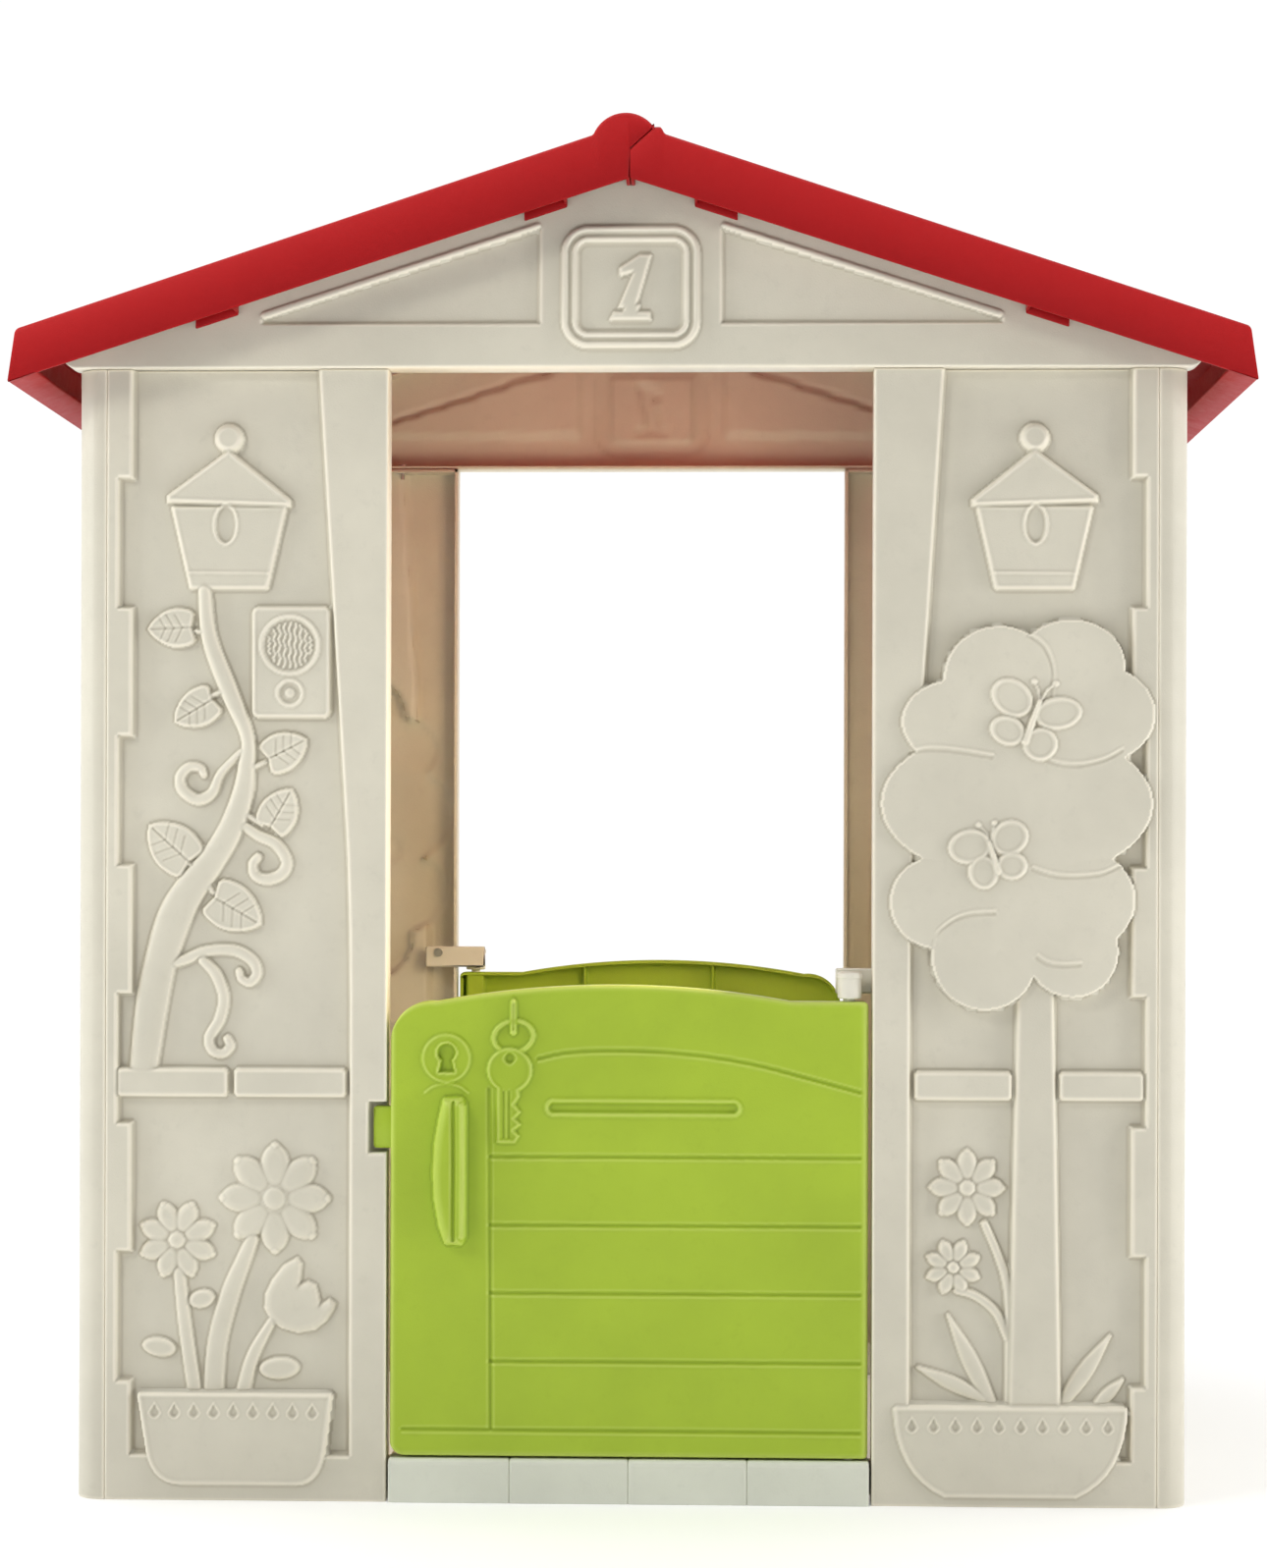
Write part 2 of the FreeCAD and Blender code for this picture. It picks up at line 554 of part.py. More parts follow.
def threshold_screws():
    return both_ends([screw(front(s * BOSS_X, THRESHOLD_BOSS_Z, EDGE + 5), V(0, -1, 0), 24) for s in (-1, 1)])


def ridge_screws():
    return Part.makeCompound([screw(V(-ROOF_SKIN, y, z), V(1, 0, 0), 12) for y, z in ridge_screw_places()])


def main():
    os.makedirs("parts", exist_ok=True)
    mouldings = {
        "vine_panel": vine_panel(),
        "tree_panel": tree_panel(),
        "gable": gable(),
        "threshold": threshold(),
        "door": door(),
        "hinge_bracket": hinge_bracket(),
        "upper_hinge_pin": pin(*UPPER_PIN_Z),
        "lower_hinge_pin": pin(*LOWER_PIN_Z),
    }
    for name, shape in mouldings.items():
        save("front_" + name, shape)
        save("back_" + name, half_turn(shape))
    right = side_wall()
    save("right_side_wall", right)
    save("left_side_wall", half_turn(right))
    save("left_roof_panel", left_roof())
    save("right_roof_panel", right_roof())
    save("corner_screws", corner_screws())
    save("gable_screws", gable_screws())
    save("bracket_screws", bracket_screws())
    save("threshold_screws", threshold_screws())
    save("ridge_screws", ridge_screws())


main()
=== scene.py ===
"""Plastic playhouse: moulded walls, gables, half doors, roof and hardware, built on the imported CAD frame.

Lengths in the shapes below are millimetres in the CAD frame; meshes are written in metres.
A relief is a height over a wall's outer face: 0 is the frame around it, below 0 is sunk, above is proud.
"""

import json
import math

import bmesh
import bpy
import numpy as np
from mathutils import Matrix, Vector

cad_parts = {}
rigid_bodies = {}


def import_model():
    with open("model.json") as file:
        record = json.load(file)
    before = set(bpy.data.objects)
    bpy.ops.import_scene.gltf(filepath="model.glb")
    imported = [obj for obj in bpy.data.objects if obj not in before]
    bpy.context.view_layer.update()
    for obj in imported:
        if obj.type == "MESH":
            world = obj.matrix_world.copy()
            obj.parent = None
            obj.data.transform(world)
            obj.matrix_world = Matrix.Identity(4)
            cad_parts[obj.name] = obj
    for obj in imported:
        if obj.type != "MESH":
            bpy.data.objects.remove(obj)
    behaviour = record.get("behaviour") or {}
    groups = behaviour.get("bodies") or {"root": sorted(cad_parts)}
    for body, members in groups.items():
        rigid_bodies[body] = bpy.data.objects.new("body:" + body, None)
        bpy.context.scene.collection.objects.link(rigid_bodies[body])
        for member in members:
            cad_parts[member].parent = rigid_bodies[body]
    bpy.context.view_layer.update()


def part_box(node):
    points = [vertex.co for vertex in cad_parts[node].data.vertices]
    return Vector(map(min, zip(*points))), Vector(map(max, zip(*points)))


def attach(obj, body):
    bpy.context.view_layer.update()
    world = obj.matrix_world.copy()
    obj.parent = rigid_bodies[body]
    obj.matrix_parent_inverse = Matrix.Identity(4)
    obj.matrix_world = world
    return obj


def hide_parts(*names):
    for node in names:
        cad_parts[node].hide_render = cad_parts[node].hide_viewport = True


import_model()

MM = 0.001
SKIN = 3.5              # thickness of a moulded wall
EDGE = 32.0             # depth of a wall panel's turned-in edges
FIELD = -10.0           # level of the sunk field
BLOCK = 4               # fine cells along one side of a coarse block of a relief mesh
FINE = 1.3              # size of a fine cell on the front of a relief


def node_box(name):
    """Lowest and highest corner of a CAD node, in mm."""
    low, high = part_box(name)
    return np.array(low) / MM, np.array(high) / MM


WALL_Y, WALL_TOP = node_box("right_side_wall")[1][1:]   # half depth over the walls, and their height
DOORWAY_X, SEAM_X = (box[0] for box in node_box("front_tree_panel"))    # edges at the door and the corner
ROOF_Y = node_box("right_roof_panel")[1][1]
LOWER_PIN, UPPER_PIN = node_box("front_lower_hinge_pin"), node_box("front_upper_hinge_pin")
HINGE_AT = tuple((UPPER_PIN[0] + UPPER_PIN[1])[:2] / 2)
BORE_R = 5.3            # a little over the pins, so that the facets stay clear


# ---------------------------------------------------------------- outlines
def smooth(t):
    """Eased step from 0 to 1."""
    t = np.clip(t, 0.0, 1.0)
    return t * t * (3 - 2 * t)


def circle(u, v, r):
    """An outline is its box and a function for the signed distance to it, below 0 inside."""
    return (u - r, v - r, u + r, v + r), lambda a, b: np.hypot(a - u, b - v) - r


def compass(turn):
    """Cosine and sine of an angle in degrees."""
    return math.cos(math.radians(turn)), math.sin(math.radians(turn))


def ellipse(u, v, ru, rv, turn=0.0):
    """Oval outline, turned by that many degrees."""
    c, s = compass(turn)
    reach = max(ru, rv)

    def distance(a, b):
        x, y = (a - u) * c + (b - v) * s, (b - v) * c - (a - u) * s
        k0 = np.hypot(x / ru, y / rv)
        k1 = np.hypot(x / ru ** 2, y / rv ** 2) + 1e-9
        return k0 * (k0 - 1) / k1
    return (u - reach, v - reach, u + reach, v + reach), distance


def rect(u0, v0, u1, v1, r=0.0):
    """Rectangle with corners of radius r."""
    mu, mv, hu, hv = (u0 + u1) / 2, (v0 + v1) / 2, (u1 - u0) / 2 - r, (v1 - v0) / 2 - r

    def distance(a, b):
        x, y = np.abs(a - mu) - hu, np.abs(b - mv) - hv
        return np.hypot(np.maximum(x, 0), np.maximum(y, 0)) + np.minimum(np.maximum(x, y), 0) - r
    return (u0, v0, u1, v1), distance


def polygon(points, r=0.0):
    """Closed outline; r grows it with round corners."""
    p = np.array(points, float)

    def distance(a, b):
        best = np.full(a.shape, 1e18)
        inside = np.zeros(a.shape, bool)
        for (pu, pv), (qu, qv) in zip(p, np.roll(p, -1, 0)):
            eu, ev = qu - pu, qv - pv
            wu, wv = a - pu, b - pv
            t = np.clip((wu * eu + wv * ev) / (eu * eu + ev * ev + 1e-12), 0, 1)
            best = np.minimum(best, (wu - eu * t) ** 2 + (wv - ev * t) ** 2)
            if ev:
                inside ^= ((pv > b) != (qv > b)) & (a < pu + eu * (b - pv) / ev)
        return np.where(inside, -1, 1) * np.sqrt(best) - r
    low, high = p.min(0) - r, p.max(0) + r
    return (low[0], low[1], high[0], high[1]), distance


def grown(shape, by):
    """The outline moved outward; a negative amount shrinks it."""
    (u0, v0, u1, v1), distance = shape
    return (u0 - by, v0 - by, u1 + by, v1 + by), lambda a, b: distance(a, b) - by


def joined(*shapes):
    """One outline round several."""
    boxes = np.array([s[0] for s in shapes])
    box = (*boxes[:, :2].min(0), *boxes[:, 2:].max(0))
    return box, lambda a, b: np.minimum.reduce([s[1](a, b) for s in shapes])


def curve(points, steps=6):
    """Smooth line through points of any number of values each."""
    p = np.array(points, float)
    p = np.vstack([2 * p[0] - p[1], p, 2 * p[-1] - p[-2]])
    out = []
    for a, b, c, d in zip(p, p[1:], p[2:], p[3:]):
        for t in np.arange(steps) / steps:
            out.append(0.5 * (2 * b + (c - a) * t + (2 * a - 5 * b + 4 * c - d) * t ** 2
                              + (3 * b - a - 3 * c + d) * t ** 3))
    return np.array(out + [p[-2]])


def bend(a, corner, b, steps=8):
    """Points of a rounded corner from a to b."""
    return [tuple(np.array(a) * (1 - t) ** 2 + np.array(corner) * 2 * t * (1 - t) + np.array(b) * t * t)
            for t in np.linspace(0, 1, steps)]


def leaf_outline(u, v, length, width, turn):
    """Heart-like leaf whose tip points along turn."""
    c, s = compass(turn)
    notch = 0.08
    t = np.linspace(0, 1, 15)
    half = width / 2 * t ** 0.45 * (1 - t) ** 0.75 / 0.4523
    along = length * (t - 0.5) - notch * length * np.sin(np.pi * np.clip(t / 0.3, 0, 1))
    along[0] = -length * (0.5 - notch)
    ring = list(zip(along, half)) + list(zip(along[-2:0:-1], -half[-2:0:-1]))
    return [(u + x * c - y * s, v + x * s + y * c) for x, y in ring]


# ---------------------------------------------------------------- relief
class Relief:
    """Heights over a wall's outer face at the points (u, v)."""

    def __init__(self, u, v, level=0.0):
        self.u, self.v = u, v
        self.h = np.full(u.shape, float(level))
        self.rows = u[:, 0]
        self.low, self.high = v.min(0), v.max(0)

    def near(self, box):
        """Part of the grid that covers a box with a margin round it."""
        (u0, v0, u1, v1), margin = box, 12.0
        i = np.searchsorted(self.rows, (u0 - margin, u1 + margin))
        j0 = np.searchsorted(self.high, v0 - margin)
        j1 = np.searchsorted(self.low, v1 + margin)
        return slice(i[0], i[1]), slice(j0, max(j0, j1))

    def level(self, shape, height, shoulder=3.0):
        """Lays a flat level inside an outline, with a soft shoulder of that width."""
        w = self.near(shape[0])
        m = smooth(0.5 - shape[1](self.u[w], self.v[w]) / shoulder)
        self.h[w] = self.h[w] * (1 - m) + height * m

    def pad(self, shape, base, rise, r):
        """Raises a round-edged pad of that rise over base."""
        w = self.near(shape[0])
        d = -shape[1](self.u[w], self.v[w])
        p = np.clip(d / r, 0, 1)
        top = base + rise * np.sqrt(p * (2 - p))
        self.h[w] = np.where(d > 0, np.maximum(self.h[w], top), self.h[w])

    def ridge(self, shape, rise, width):
        """Raises a round bead along an outline."""
        w = self.near(shape[0])
        p = np.clip(np.abs(shape[1](self.u[w], self.v[w])) / (width / 2), 0, 1)
        self.h[w] += rise * np.sqrt(1 - p ** 2) * (p < 1)

    def groove(self, points, width, depth):
        """Cuts a round-bottomed groove along a line; a negative depth raises a bead."""
        q = np.array(points, float)
        w = self.near((*q.min(0), *q.max(0)))
        d = line_distance(q, self.u[w], self.v[w])
        m = np.clip(1 - (d / (width / 2)) ** 2, 0, 1)
        self.h[w] -= depth * m * (1.5 - 0.5 * m)

    def tube(self, points, base, rise, square=2.0):
        """Raises a band along (u, v, width) points; a higher square flattens its top."""
        q = np.array(points, float)
        half = q[:, 2].max() / 2
        w = self.near((*(q[:, :2].min(0) - half), *(q[:, :2].max(0) + half)))
        u, v = self.u[w], self.v[w]
        best = np.full(u.shape, 9.0)
        for a, b in zip(q, q[1:]):
            t, du, dv = from_line(a, b, u, v)
            best = np.minimum(best, np.hypot(du, dv) / ((a[2] + (b[2] - a[2]) * t) / 2))
        top = base + rise * np.sqrt(np.clip(1 - best ** square, 0, 1))
        self.h[w] = np.where(best < 1, np.maximum(self.h[w], top), self.h[w])


def from_line(a, b, u, v):
    """Where on the line from a to b the spot nearest to (u, v) is, 0 to 1, and the way from it to (u, v)."""
    eu, ev = b[0] - a[0], b[1] - a[1]
    t = np.clip(((u - a[0]) * eu + (v - a[1]) * ev) / (eu * eu + ev * ev + 1e-9), 0, 1)
    return t, u - a[0] - eu * t, v - a[1] - ev * t


def line_distance(q, u, v):
    """Distance from (u, v) to the line through the points q."""
    best = np.full(u.shape, 1e18)
    for a, b in zip(q, q[1:]):
        du, dv = from_line(a, b, u, v)[1:]
        best = np.minimum(best, du ** 2 + dv ** 2)
    return np.sqrt(best)


# ---------------------------------------------------------------- relief meshes
def rulings(low, high, r_low, r_high, step=FINE):
    """Grid lines, a whole number of blocks of them, with arcs of that radius at both ends."""
    arc = 1 - np.cos(np.radians([0, 18, 36, 54, 72, 90]))
    first, last = low + r_low * arc, high - r_high * arc[::-1]
    count = int(round((last[0] - first[-1]) / step))
    count += -(count + 10) % BLOCK
    return np.concatenate([first, np.linspace(first[-1], last[0], count + 1)[1:-1], last])


def border_drop(distance, r):
    """How far a rounded border has fallen away at a distance inside it."""
    k = np.clip(distance / r, 0, 1)
    return r * (1 - np.sqrt(k * (2 - k)))


def block_faces(fine, keep, outside=True):
    """Faces of a grid: the kept cells of fine blocks, and one face for each other block."""
    nu, nv = fine.shape
    across = nv * BLOCK + 1
    cells = np.kron(fine, np.ones((BLOCK, BLOCK), bool)) & keep
    i, j = np.nonzero(cells)
    a = i * across + j
    faces = [np.stack([a, a + across, a + across + 1, a + 1], 1)]
    ring = np.pad(fine, 1, constant_values=outside)
    whole = keep.reshape(nu, BLOCK, nv, BLOCK).all((1, 3))
    k = BLOCK
    for code in range(16):
        sides = [(code >> s) & 1 for s in range(4)]
        near = (ring[1:-1, :-2], ring[2:, 1:-1], ring[1:-1, 2:], ring[:-2, 1:-1])
        match = ~fine & whole
        for side, flag in zip(near, sides):
            match &= side == bool(flag)
        i, j = np.nonzero(match)
        if not len(i):
            continue
        path = [(0, 0)] + [(n, 0) for n in range(1, k) if sides[0]]
        path += [(k, 0)] + [(k, n) for n in range(1, k) if sides[1]]
        path += [(k, k)] + [(k - n, k) for n in range(1, k) if sides[2]]
        path += [(0, k)] + [(0, k - n) for n in range(1, k) if sides[3]]
        base = i * k * across + j * k
        faces.append(np.stack([base + di * across + dj for di, dj in path], 1))
    return faces


def widened(blocks):
    """These blocks and all their neighbours."""
    ring = np.pad(blocks, 1)
    nu, nv = blocks.shape
    return np.any([ring[i:i + nu, j:j + nv] for i in (0, 1, 2) for j in (0, 1, 2)], 0)


def rough_blocks(h, limit):
    """Blocks, and their neighbours, in which the height varies by more than the limit."""
    nu, nv = (h.shape[0] - 1) // BLOCK, (h.shape[1] - 1) // BLOCK
    low = np.full((nu, nv), 1e9)
    high = -low
    for di in range(BLOCK + 1):
        for dj in range(BLOCK + 1):
            part = h[di:di + nu * BLOCK:BLOCK, dj:dj + nv * BLOCK:BLOCK][:nu, :nv]
            low, high = np.minimum(low, part), np.maximum(high, part)
    return widened(high - low > limit)


def loop_of(nu, nv):
    """Indexes of a grid's border, going round from its first corner."""
    up_u, up_v = np.arange(nu), np.arange(nv)
    i = np.concatenate([up_u, np.full(nv - 1, nu - 1), up_u[-2::-1], np.zeros(nv - 2, int)])
    j = np.concatenate([np.zeros(nu, int), up_v[1:], np.full(nu - 1, nv - 1), up_v[-2:0:-1]])
    return i, j


def write_mesh(name, points, faces, sharp_class, painted_light):
    """Mesh from points in mm; only the points in use are kept. Edges inside one sharp class are creased."""
    used = np.zeros(len(points), bool)
    for f in faces:
        used[f.ravel()] = True
    new = np.cumsum(used) - 1
    faces = [new[f] for f in faces if len(f)]
    sizes = np.concatenate([np.full(len(f), f.shape[1]) for f in faces])
    corners = np.concatenate([f.ravel() for f in faces]).astype(np.int32)
    mesh = bpy.data.meshes.new(name)
    mesh.vertices.add(int(used.sum()))
    mesh.vertices.foreach_set("co", (points[used] * MM).astype(np.float32).ravel())
    mesh.loops.add(len(corners))
    mesh.loops.foreach_set("vertex_index", corners)
    mesh.polygons.add(len(sizes))
    mesh.polygons.foreach_set("loop_start", np.concatenate([[0], np.cumsum(sizes)[:-1]]).astype(np.int32))
    mesh.polygons.foreach_set("loop_total", sizes.astype(np.int32))
    mesh.update(calc_edges=True)
    mesh.polygons.foreach_set("use_smooth", np.ones(len(sizes), bool))
    # Point attribute that the plastics read for a painted highlight on crests and painted shade in creases.
    mesh.attributes.new("painted_light", "FLOAT", "POINT").data.foreach_set("value", painted_light[used].astype(np.float32))
    ends = np.zeros(len(mesh.edges) * 2, np.int32)
    mesh.edges.foreach_get("vertices", ends)
    kind = sharp_class[used][ends.reshape(-1, 2)]
    sharp = (kind[:, 0] == kind[:, 1]) & (kind[:, 0] > 0)
    mesh.attributes.new("sharp_edge", "BOOLEAN", "EDGE").data.foreach_set("value", sharp)
    mesh.validate()
    return mesh


def painted_light_of(h, u, v):
    """Painted light from curvature: above 0 on a relief's crests, for a painted highlight, and below 0 in
    its creases, for painted shade, -1 to 1.
    """
    def second(f, x):
        return np.gradient(np.gradient(f, x, axis=0), x, axis=0)
    curving = second(h, u[:, 0]) + second(h.T, v.mean(0)).T
    return np.clip(-curving * 1.6, -1, 1)


def turned_edges(place, u, v, depth, inset):
    """Rings of points that carry a moulding's border down to its rim and back to the inner skin."""
    def rings(li, lj):
        d = depth(u[li, lj], v[li, lj]) if callable(depth) else np.full(len(li), float(depth))
        return [place(u[li, lj], v[li, lj], 1.0 - d), place(*shrunk(u, v, li, lj, 0.8), -d),
                place(*shrunk(u, v, li, lj, inset), -d)]
    return rings


def moulding(name, u, v, place, h, back, rings, inset=SKIN, limit=0.04, back_limit=None, holes=()):
    """A hollow relief moulding: decorated skin, turned-in edges, rim and inner skin, as one closed mesh.

    u, v: grid points; place(u, v, height) gives mm positions; h: heights; back(u, v): inner skin's heights;
    rings: points round the turned-in edges; inset: their thickness; holes: outlines cut right through.
    """
    nu, nv = u.shape
    blocks = ((nu - 1) // BLOCK, (nv - 1) // BLOCK)
    keep = np.ones((nu - 1, nv - 1), bool)
    fu, fv = u.copy(), v.copy()
    hole_edge = np.zeros(u.shape, bool)
    for hole in holes:
        cu = (u[:-1, :-1] + u[1:, 1:]) / 2
        cv = (v[:-1, :-1] + v[1:, 1:]) / 2
        out = hole[1](cu, cv) < 0
        keep &= ~out
        edge = corner_use(out) & corner_use(~out)
        hole_edge |= edge
        for _ in range(3):
            eu, ev, e = fu[edge], fv[edge], 0.05
            d = hole[1](eu, ev)
            gu = (hole[1](eu + e, ev) - hole[1](eu - e, ev)) / (2 * e)
            gv = (hole[1](eu, ev + e) - hole[1](eu, ev - e)) / (2 * e)
            size = np.maximum(np.hypot(gu, gv), 0.3)
            fu[edge] -= d * gu / size ** 2
            fv[edge] -= d * gv / size ** 2
    mixed = ~keep.reshape(blocks[0], BLOCK, blocks[1], BLOCK).all((1, 3))
    touched = widened(mixed)
    fine = rough_blocks(h, limit) | touched
    u0, u1, v0, v1 = u[0, 0], u[-1, 0], v[:, :1], v[:, -1:]
    reach = 36.0

    def pulled(x, low, high):
        a = 1 - smooth((x - low) / reach)
        b = 1 - smooth((high - x) / reach)
        return x + inset * a - inset * b
    bu, bv = pulled(fu, u0, u1), pulled(fv, v0, v1)
    bh = back(bu, bv)
    back_fine = touched.copy()
    if back_limit is not None:
        back_fine |= rough_blocks(bh, back_limit)
    front_xyz = place(fu, fv, h).reshape(-1, 3)
    back_xyz = place(bu, bv, bh).reshape(-1, 3)
    total = nu * nv
    li, lj = loop_of(nu, nv)
    loop = li * nv + lj
    count = len(loop)
    edges = rings(li, lj)
    points = np.vstack([front_xyz, back_xyz] + edges)
    faces = block_faces(fine, keep)
    faces += [f[:, ::-1] + total for f in block_faces(back_fine, keep)]
    start = 2 * total
    steps = [loop] + [start + k * count + np.arange(count) for k in range(len(edges))] + [loop + total]
    for a, b in zip(steps, steps[1:]):
        faces.append(np.stack([a, b, np.roll(b, -1), np.roll(a, -1)], 1))
    if holes:
        faces.append(hole_walls(keep, nv, total))
    kind = np.zeros(len(points), np.int8)
    kind[loop + total] = 2
    kind[start + (len(edges) - 1) * count:] = 3
    if holes:
        kind[:total][hole_edge.ravel()] = 4
        kind[total:2 * total][hole_edge.ravel()] = 5
    # Painted highlight and painted shade follow the front skin's curvature; other points get none.
    painted_light = np.zeros(len(points))
    painted_light[:total] = painted_light_of(h, u, v).ravel()
    return write_mesh(name, points, faces, kind, painted_light)


def corner_use(cells):
    """Grid points that touch one of these cells."""
    use = np.zeros((cells.shape[0] + 1, cells.shape[1] + 1), bool)
    for di in (0, 1):
        for dj in (0, 1):
            use[di:di + cells.shape[0], dj:dj + cells.shape[1]] |= cells
    return use


def shrunk(u, v, li, lj, by):
    """Border points moved inward by that much."""
    su, sv = u[li, lj].copy(), v[li, lj].copy()
    su += by * (li == 0) - by * (li == u.shape[0] - 1)
    sv += by * (lj == 0) - by * (lj == u.shape[1] - 1)
    return su, sv


def hole_walls(keep, across, total):
    """Quads between the front and inner skins round each hole."""
    ring = np.pad(keep, 1, constant_values=True)
    quads = []
    sides = ((-1, 0, (0, 0), (0, 1)), (1, 0, (1, 1), (1, 0)),
             (0, -1, (1, 0), (0, 0)), (0, 1, (0, 1), (1, 1)))
    for di, dj, a, b in sides:
        beyond = ring[1 + di:ring.shape[0] - 1 + di, 1 + dj:ring.shape[1] - 1 + dj]
        i, j = np.nonzero(keep & ~beyond)
        p = (i + a[0]) * across + j + a[1]
        q = (i + b[0]) * across + j + b[1]
        quads.append(np.stack([p, q, q + total, p + total], 1))
    return np.concatenate(quads)


def add(name, mesh, body, nodes, material, turned=False):
    """Puts a piece in place of CAD nodes; turned sets it at the other end of the house."""
    piece = bpy.data.objects.new(name, mesh)
    bpy.context.scene.collection.objects.link(piece)
    if turned:
        piece.rotation_euler = (0, 0, math.pi)
    if not mesh.materials:
        mesh.materials.append(material)
    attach(piece, body)
    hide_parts(*nodes)
    return piece


# ---------------------------------------------------------------- decorations
def birdhouse(r, u, tilt):
    """Pointed roof with a ball on top, tapered box, oval hole and a ledge."""
    body = polygon([(u - 52, 927), (u - 35, 853), (u + 35, 853), (u + 52, 927)], 3)
    r.pad(body, FIELD, 7.0, 5)
    r.level(grown(body, -4.5), -3.9, 3)
    r.groove([(u - 38, 867), (u + 38, 866)], 3.0, -1.2)
    eaves = [(u - 57, 936 + tilt), (u - 57, 931 + tilt), (u + 57, 931 - tilt), (u + 57, 936 - tilt)]
    roof = polygon(eaves + [(u, 980)], 2)
    r.pad(roof, FIELD, 10.0, 4.5)
    r.level(grown(roof, -5), -1.0, 3)
    r.pad(circle(u, 992, 14.3), FIELD, 11.5, 9)
    r.level(circle(u, 992, 8.5), 0.2, 4)
    hole = ellipse(u - 3 + 4 * (tilt < 0), 911.5, 11.0, 18.5)
    r.ridge(hole, 1.1, 3.4)
    r.level(grown(hole, -2), -6.2, 3)


def daisy(r, u, v, size, offset):
    """Eight overlapping petals about a button."""
    for i in range(8):
        a = offset + i * 45.0
        c, s = compass(a)
        petal = joined(ellipse(u + 0.56 * size * c, v + 0.56 * size * s, 0.40 * size, 0.265 * size, a),
                       circle(u + 0.9 * size * c, v + 0.9 * size * s, 0.1 * size))
        r.pad(petal, FIELD, 6.4, 0.17 * size)
    r.pad(circle(u, v, 0.36 * size), FIELD, 5.6, 9)
    r.pad(circle(u, v, 0.2 * size), -4.6, 3.6, 0.16 * size)


def leaf(r, u, v, length, width, turn):
    """Heart-like leaf with a raised rim, a mid vein and side veins."""
    shape = polygon(leaf_outline(u, v, length, width, turn))
    r.pad(shape, FIELD, 6.5, 3.4)
    r.level(grown(shape, -3.4), -4.3, 2.2)
    c, s = compass(turn)

    def at(x, y):
        return u + x * c - y * s, v + x * s + y * c
    r.groove([at(-0.48 * length, 0), at(0.40 * length, 0)], 2.6, 1.3)
    for t in (-0.22, -0.05, 0.12):
        for side in (-1, 1):
            r.groove([at(t * length, 0), at((t + 0.14) * length, side * 0.33 * width)], 2.2, 0.9)


def small_leaf(r, u, v, length, width, turn):
    """Plain rounded leaf."""
    r.pad(ellipse(u, v, length / 2, width / 2, turn), FIELD, 5.5, 5)


def ledge(r, u0, u1):
    """Long flat stone on the field."""
    r.pad(rect(u0, 376, u1, 404, 5), FIELD, 9.5, 3.5)


def curl(r, points):
    """Tendril along (u, v, width) points."""
    r.tube(curve(points), FIELD, 6.5)


def pot(r, outline, dimples):
    """Planter with a raised rim round its face and a row of drop-shaped dimples under its top."""
    shape = polygon(outline, 4)
    r.pad(shape, -1.0, 5.0, 4.0)
    r.level(grown(shape, -4.8), 3.0, 2.5)
    for u, v in dimples:
        tip = polygon([(u - 4.4, v - 0.5), (u + 4.4, v - 0.5), (u, v + 7)])
        drop = joined(circle(u, v - 2.5, 5.0), tip)
        r.ridge(drop, 0.7, 2.6)
        r.level(grown(drop, -1.2), 1.5, 2.5)


def butterfly(r, base, wings, body, feelers):
    """Four hollowed oval wings, a tapered body and two feelers with buttons."""
    for u, v, ru, rv, turn in wings:
        shape = ellipse(u, v, ru, rv, turn)
        r.pad(shape, base, 4.2, 4.0)
        r.level(grown(shape, -4.2), base + 2.6, 3.4)
    (au, av), (bu, bv) = body
    r.tube([(au, av, 5.0), ((au + bu) / 2, (av + bv) / 2, 6.5), (bu, bv, 8.5)], base, 5.6)
    for points in feelers:
        r.tube([(*p, 2.6) for p in points], base, 2.6)
        r.pad(circle(*points[-1], 3.2), base, 3.0, 2.5)


def intercom(r):
    """Plate with a round grille of wavy bars over a round button."""
    u, grille, button = -317.7, 798.8, 754.0
    plate = rect(-354.1, 730.2, -278.9, 835.4, 7)
    r.pad(plate, FIELD, 8.5, 4.0)
    r.level(grown(plate, -4.0), -2.6, 2.5)
    r.ridge(circle(u, grille, 27), 1.8, 4.4)
    r.level(circle(u, grille, 23.5), -4.4, 2.5)
    for i in range(-4, 5):
        at = u + i * 4.9
        half = math.sqrt(21.0 ** 2 - (i * 4.9) ** 2)
        wave = [(at + 1.1 * math.sin(k * 1.7 + i), grille + half * (k / 6.0 - 1), 2.8) for k in range(13)]
        r.tube(wave, -4.4, 2.0)
    r.ridge(circle(u, button, 12.0), 1.4, 3.8)
    r.level(circle(u, button, 9.5), -4.0, 2.0)
    r.pad(circle(u, button, 5.0), -4.0, 2.4, 4)


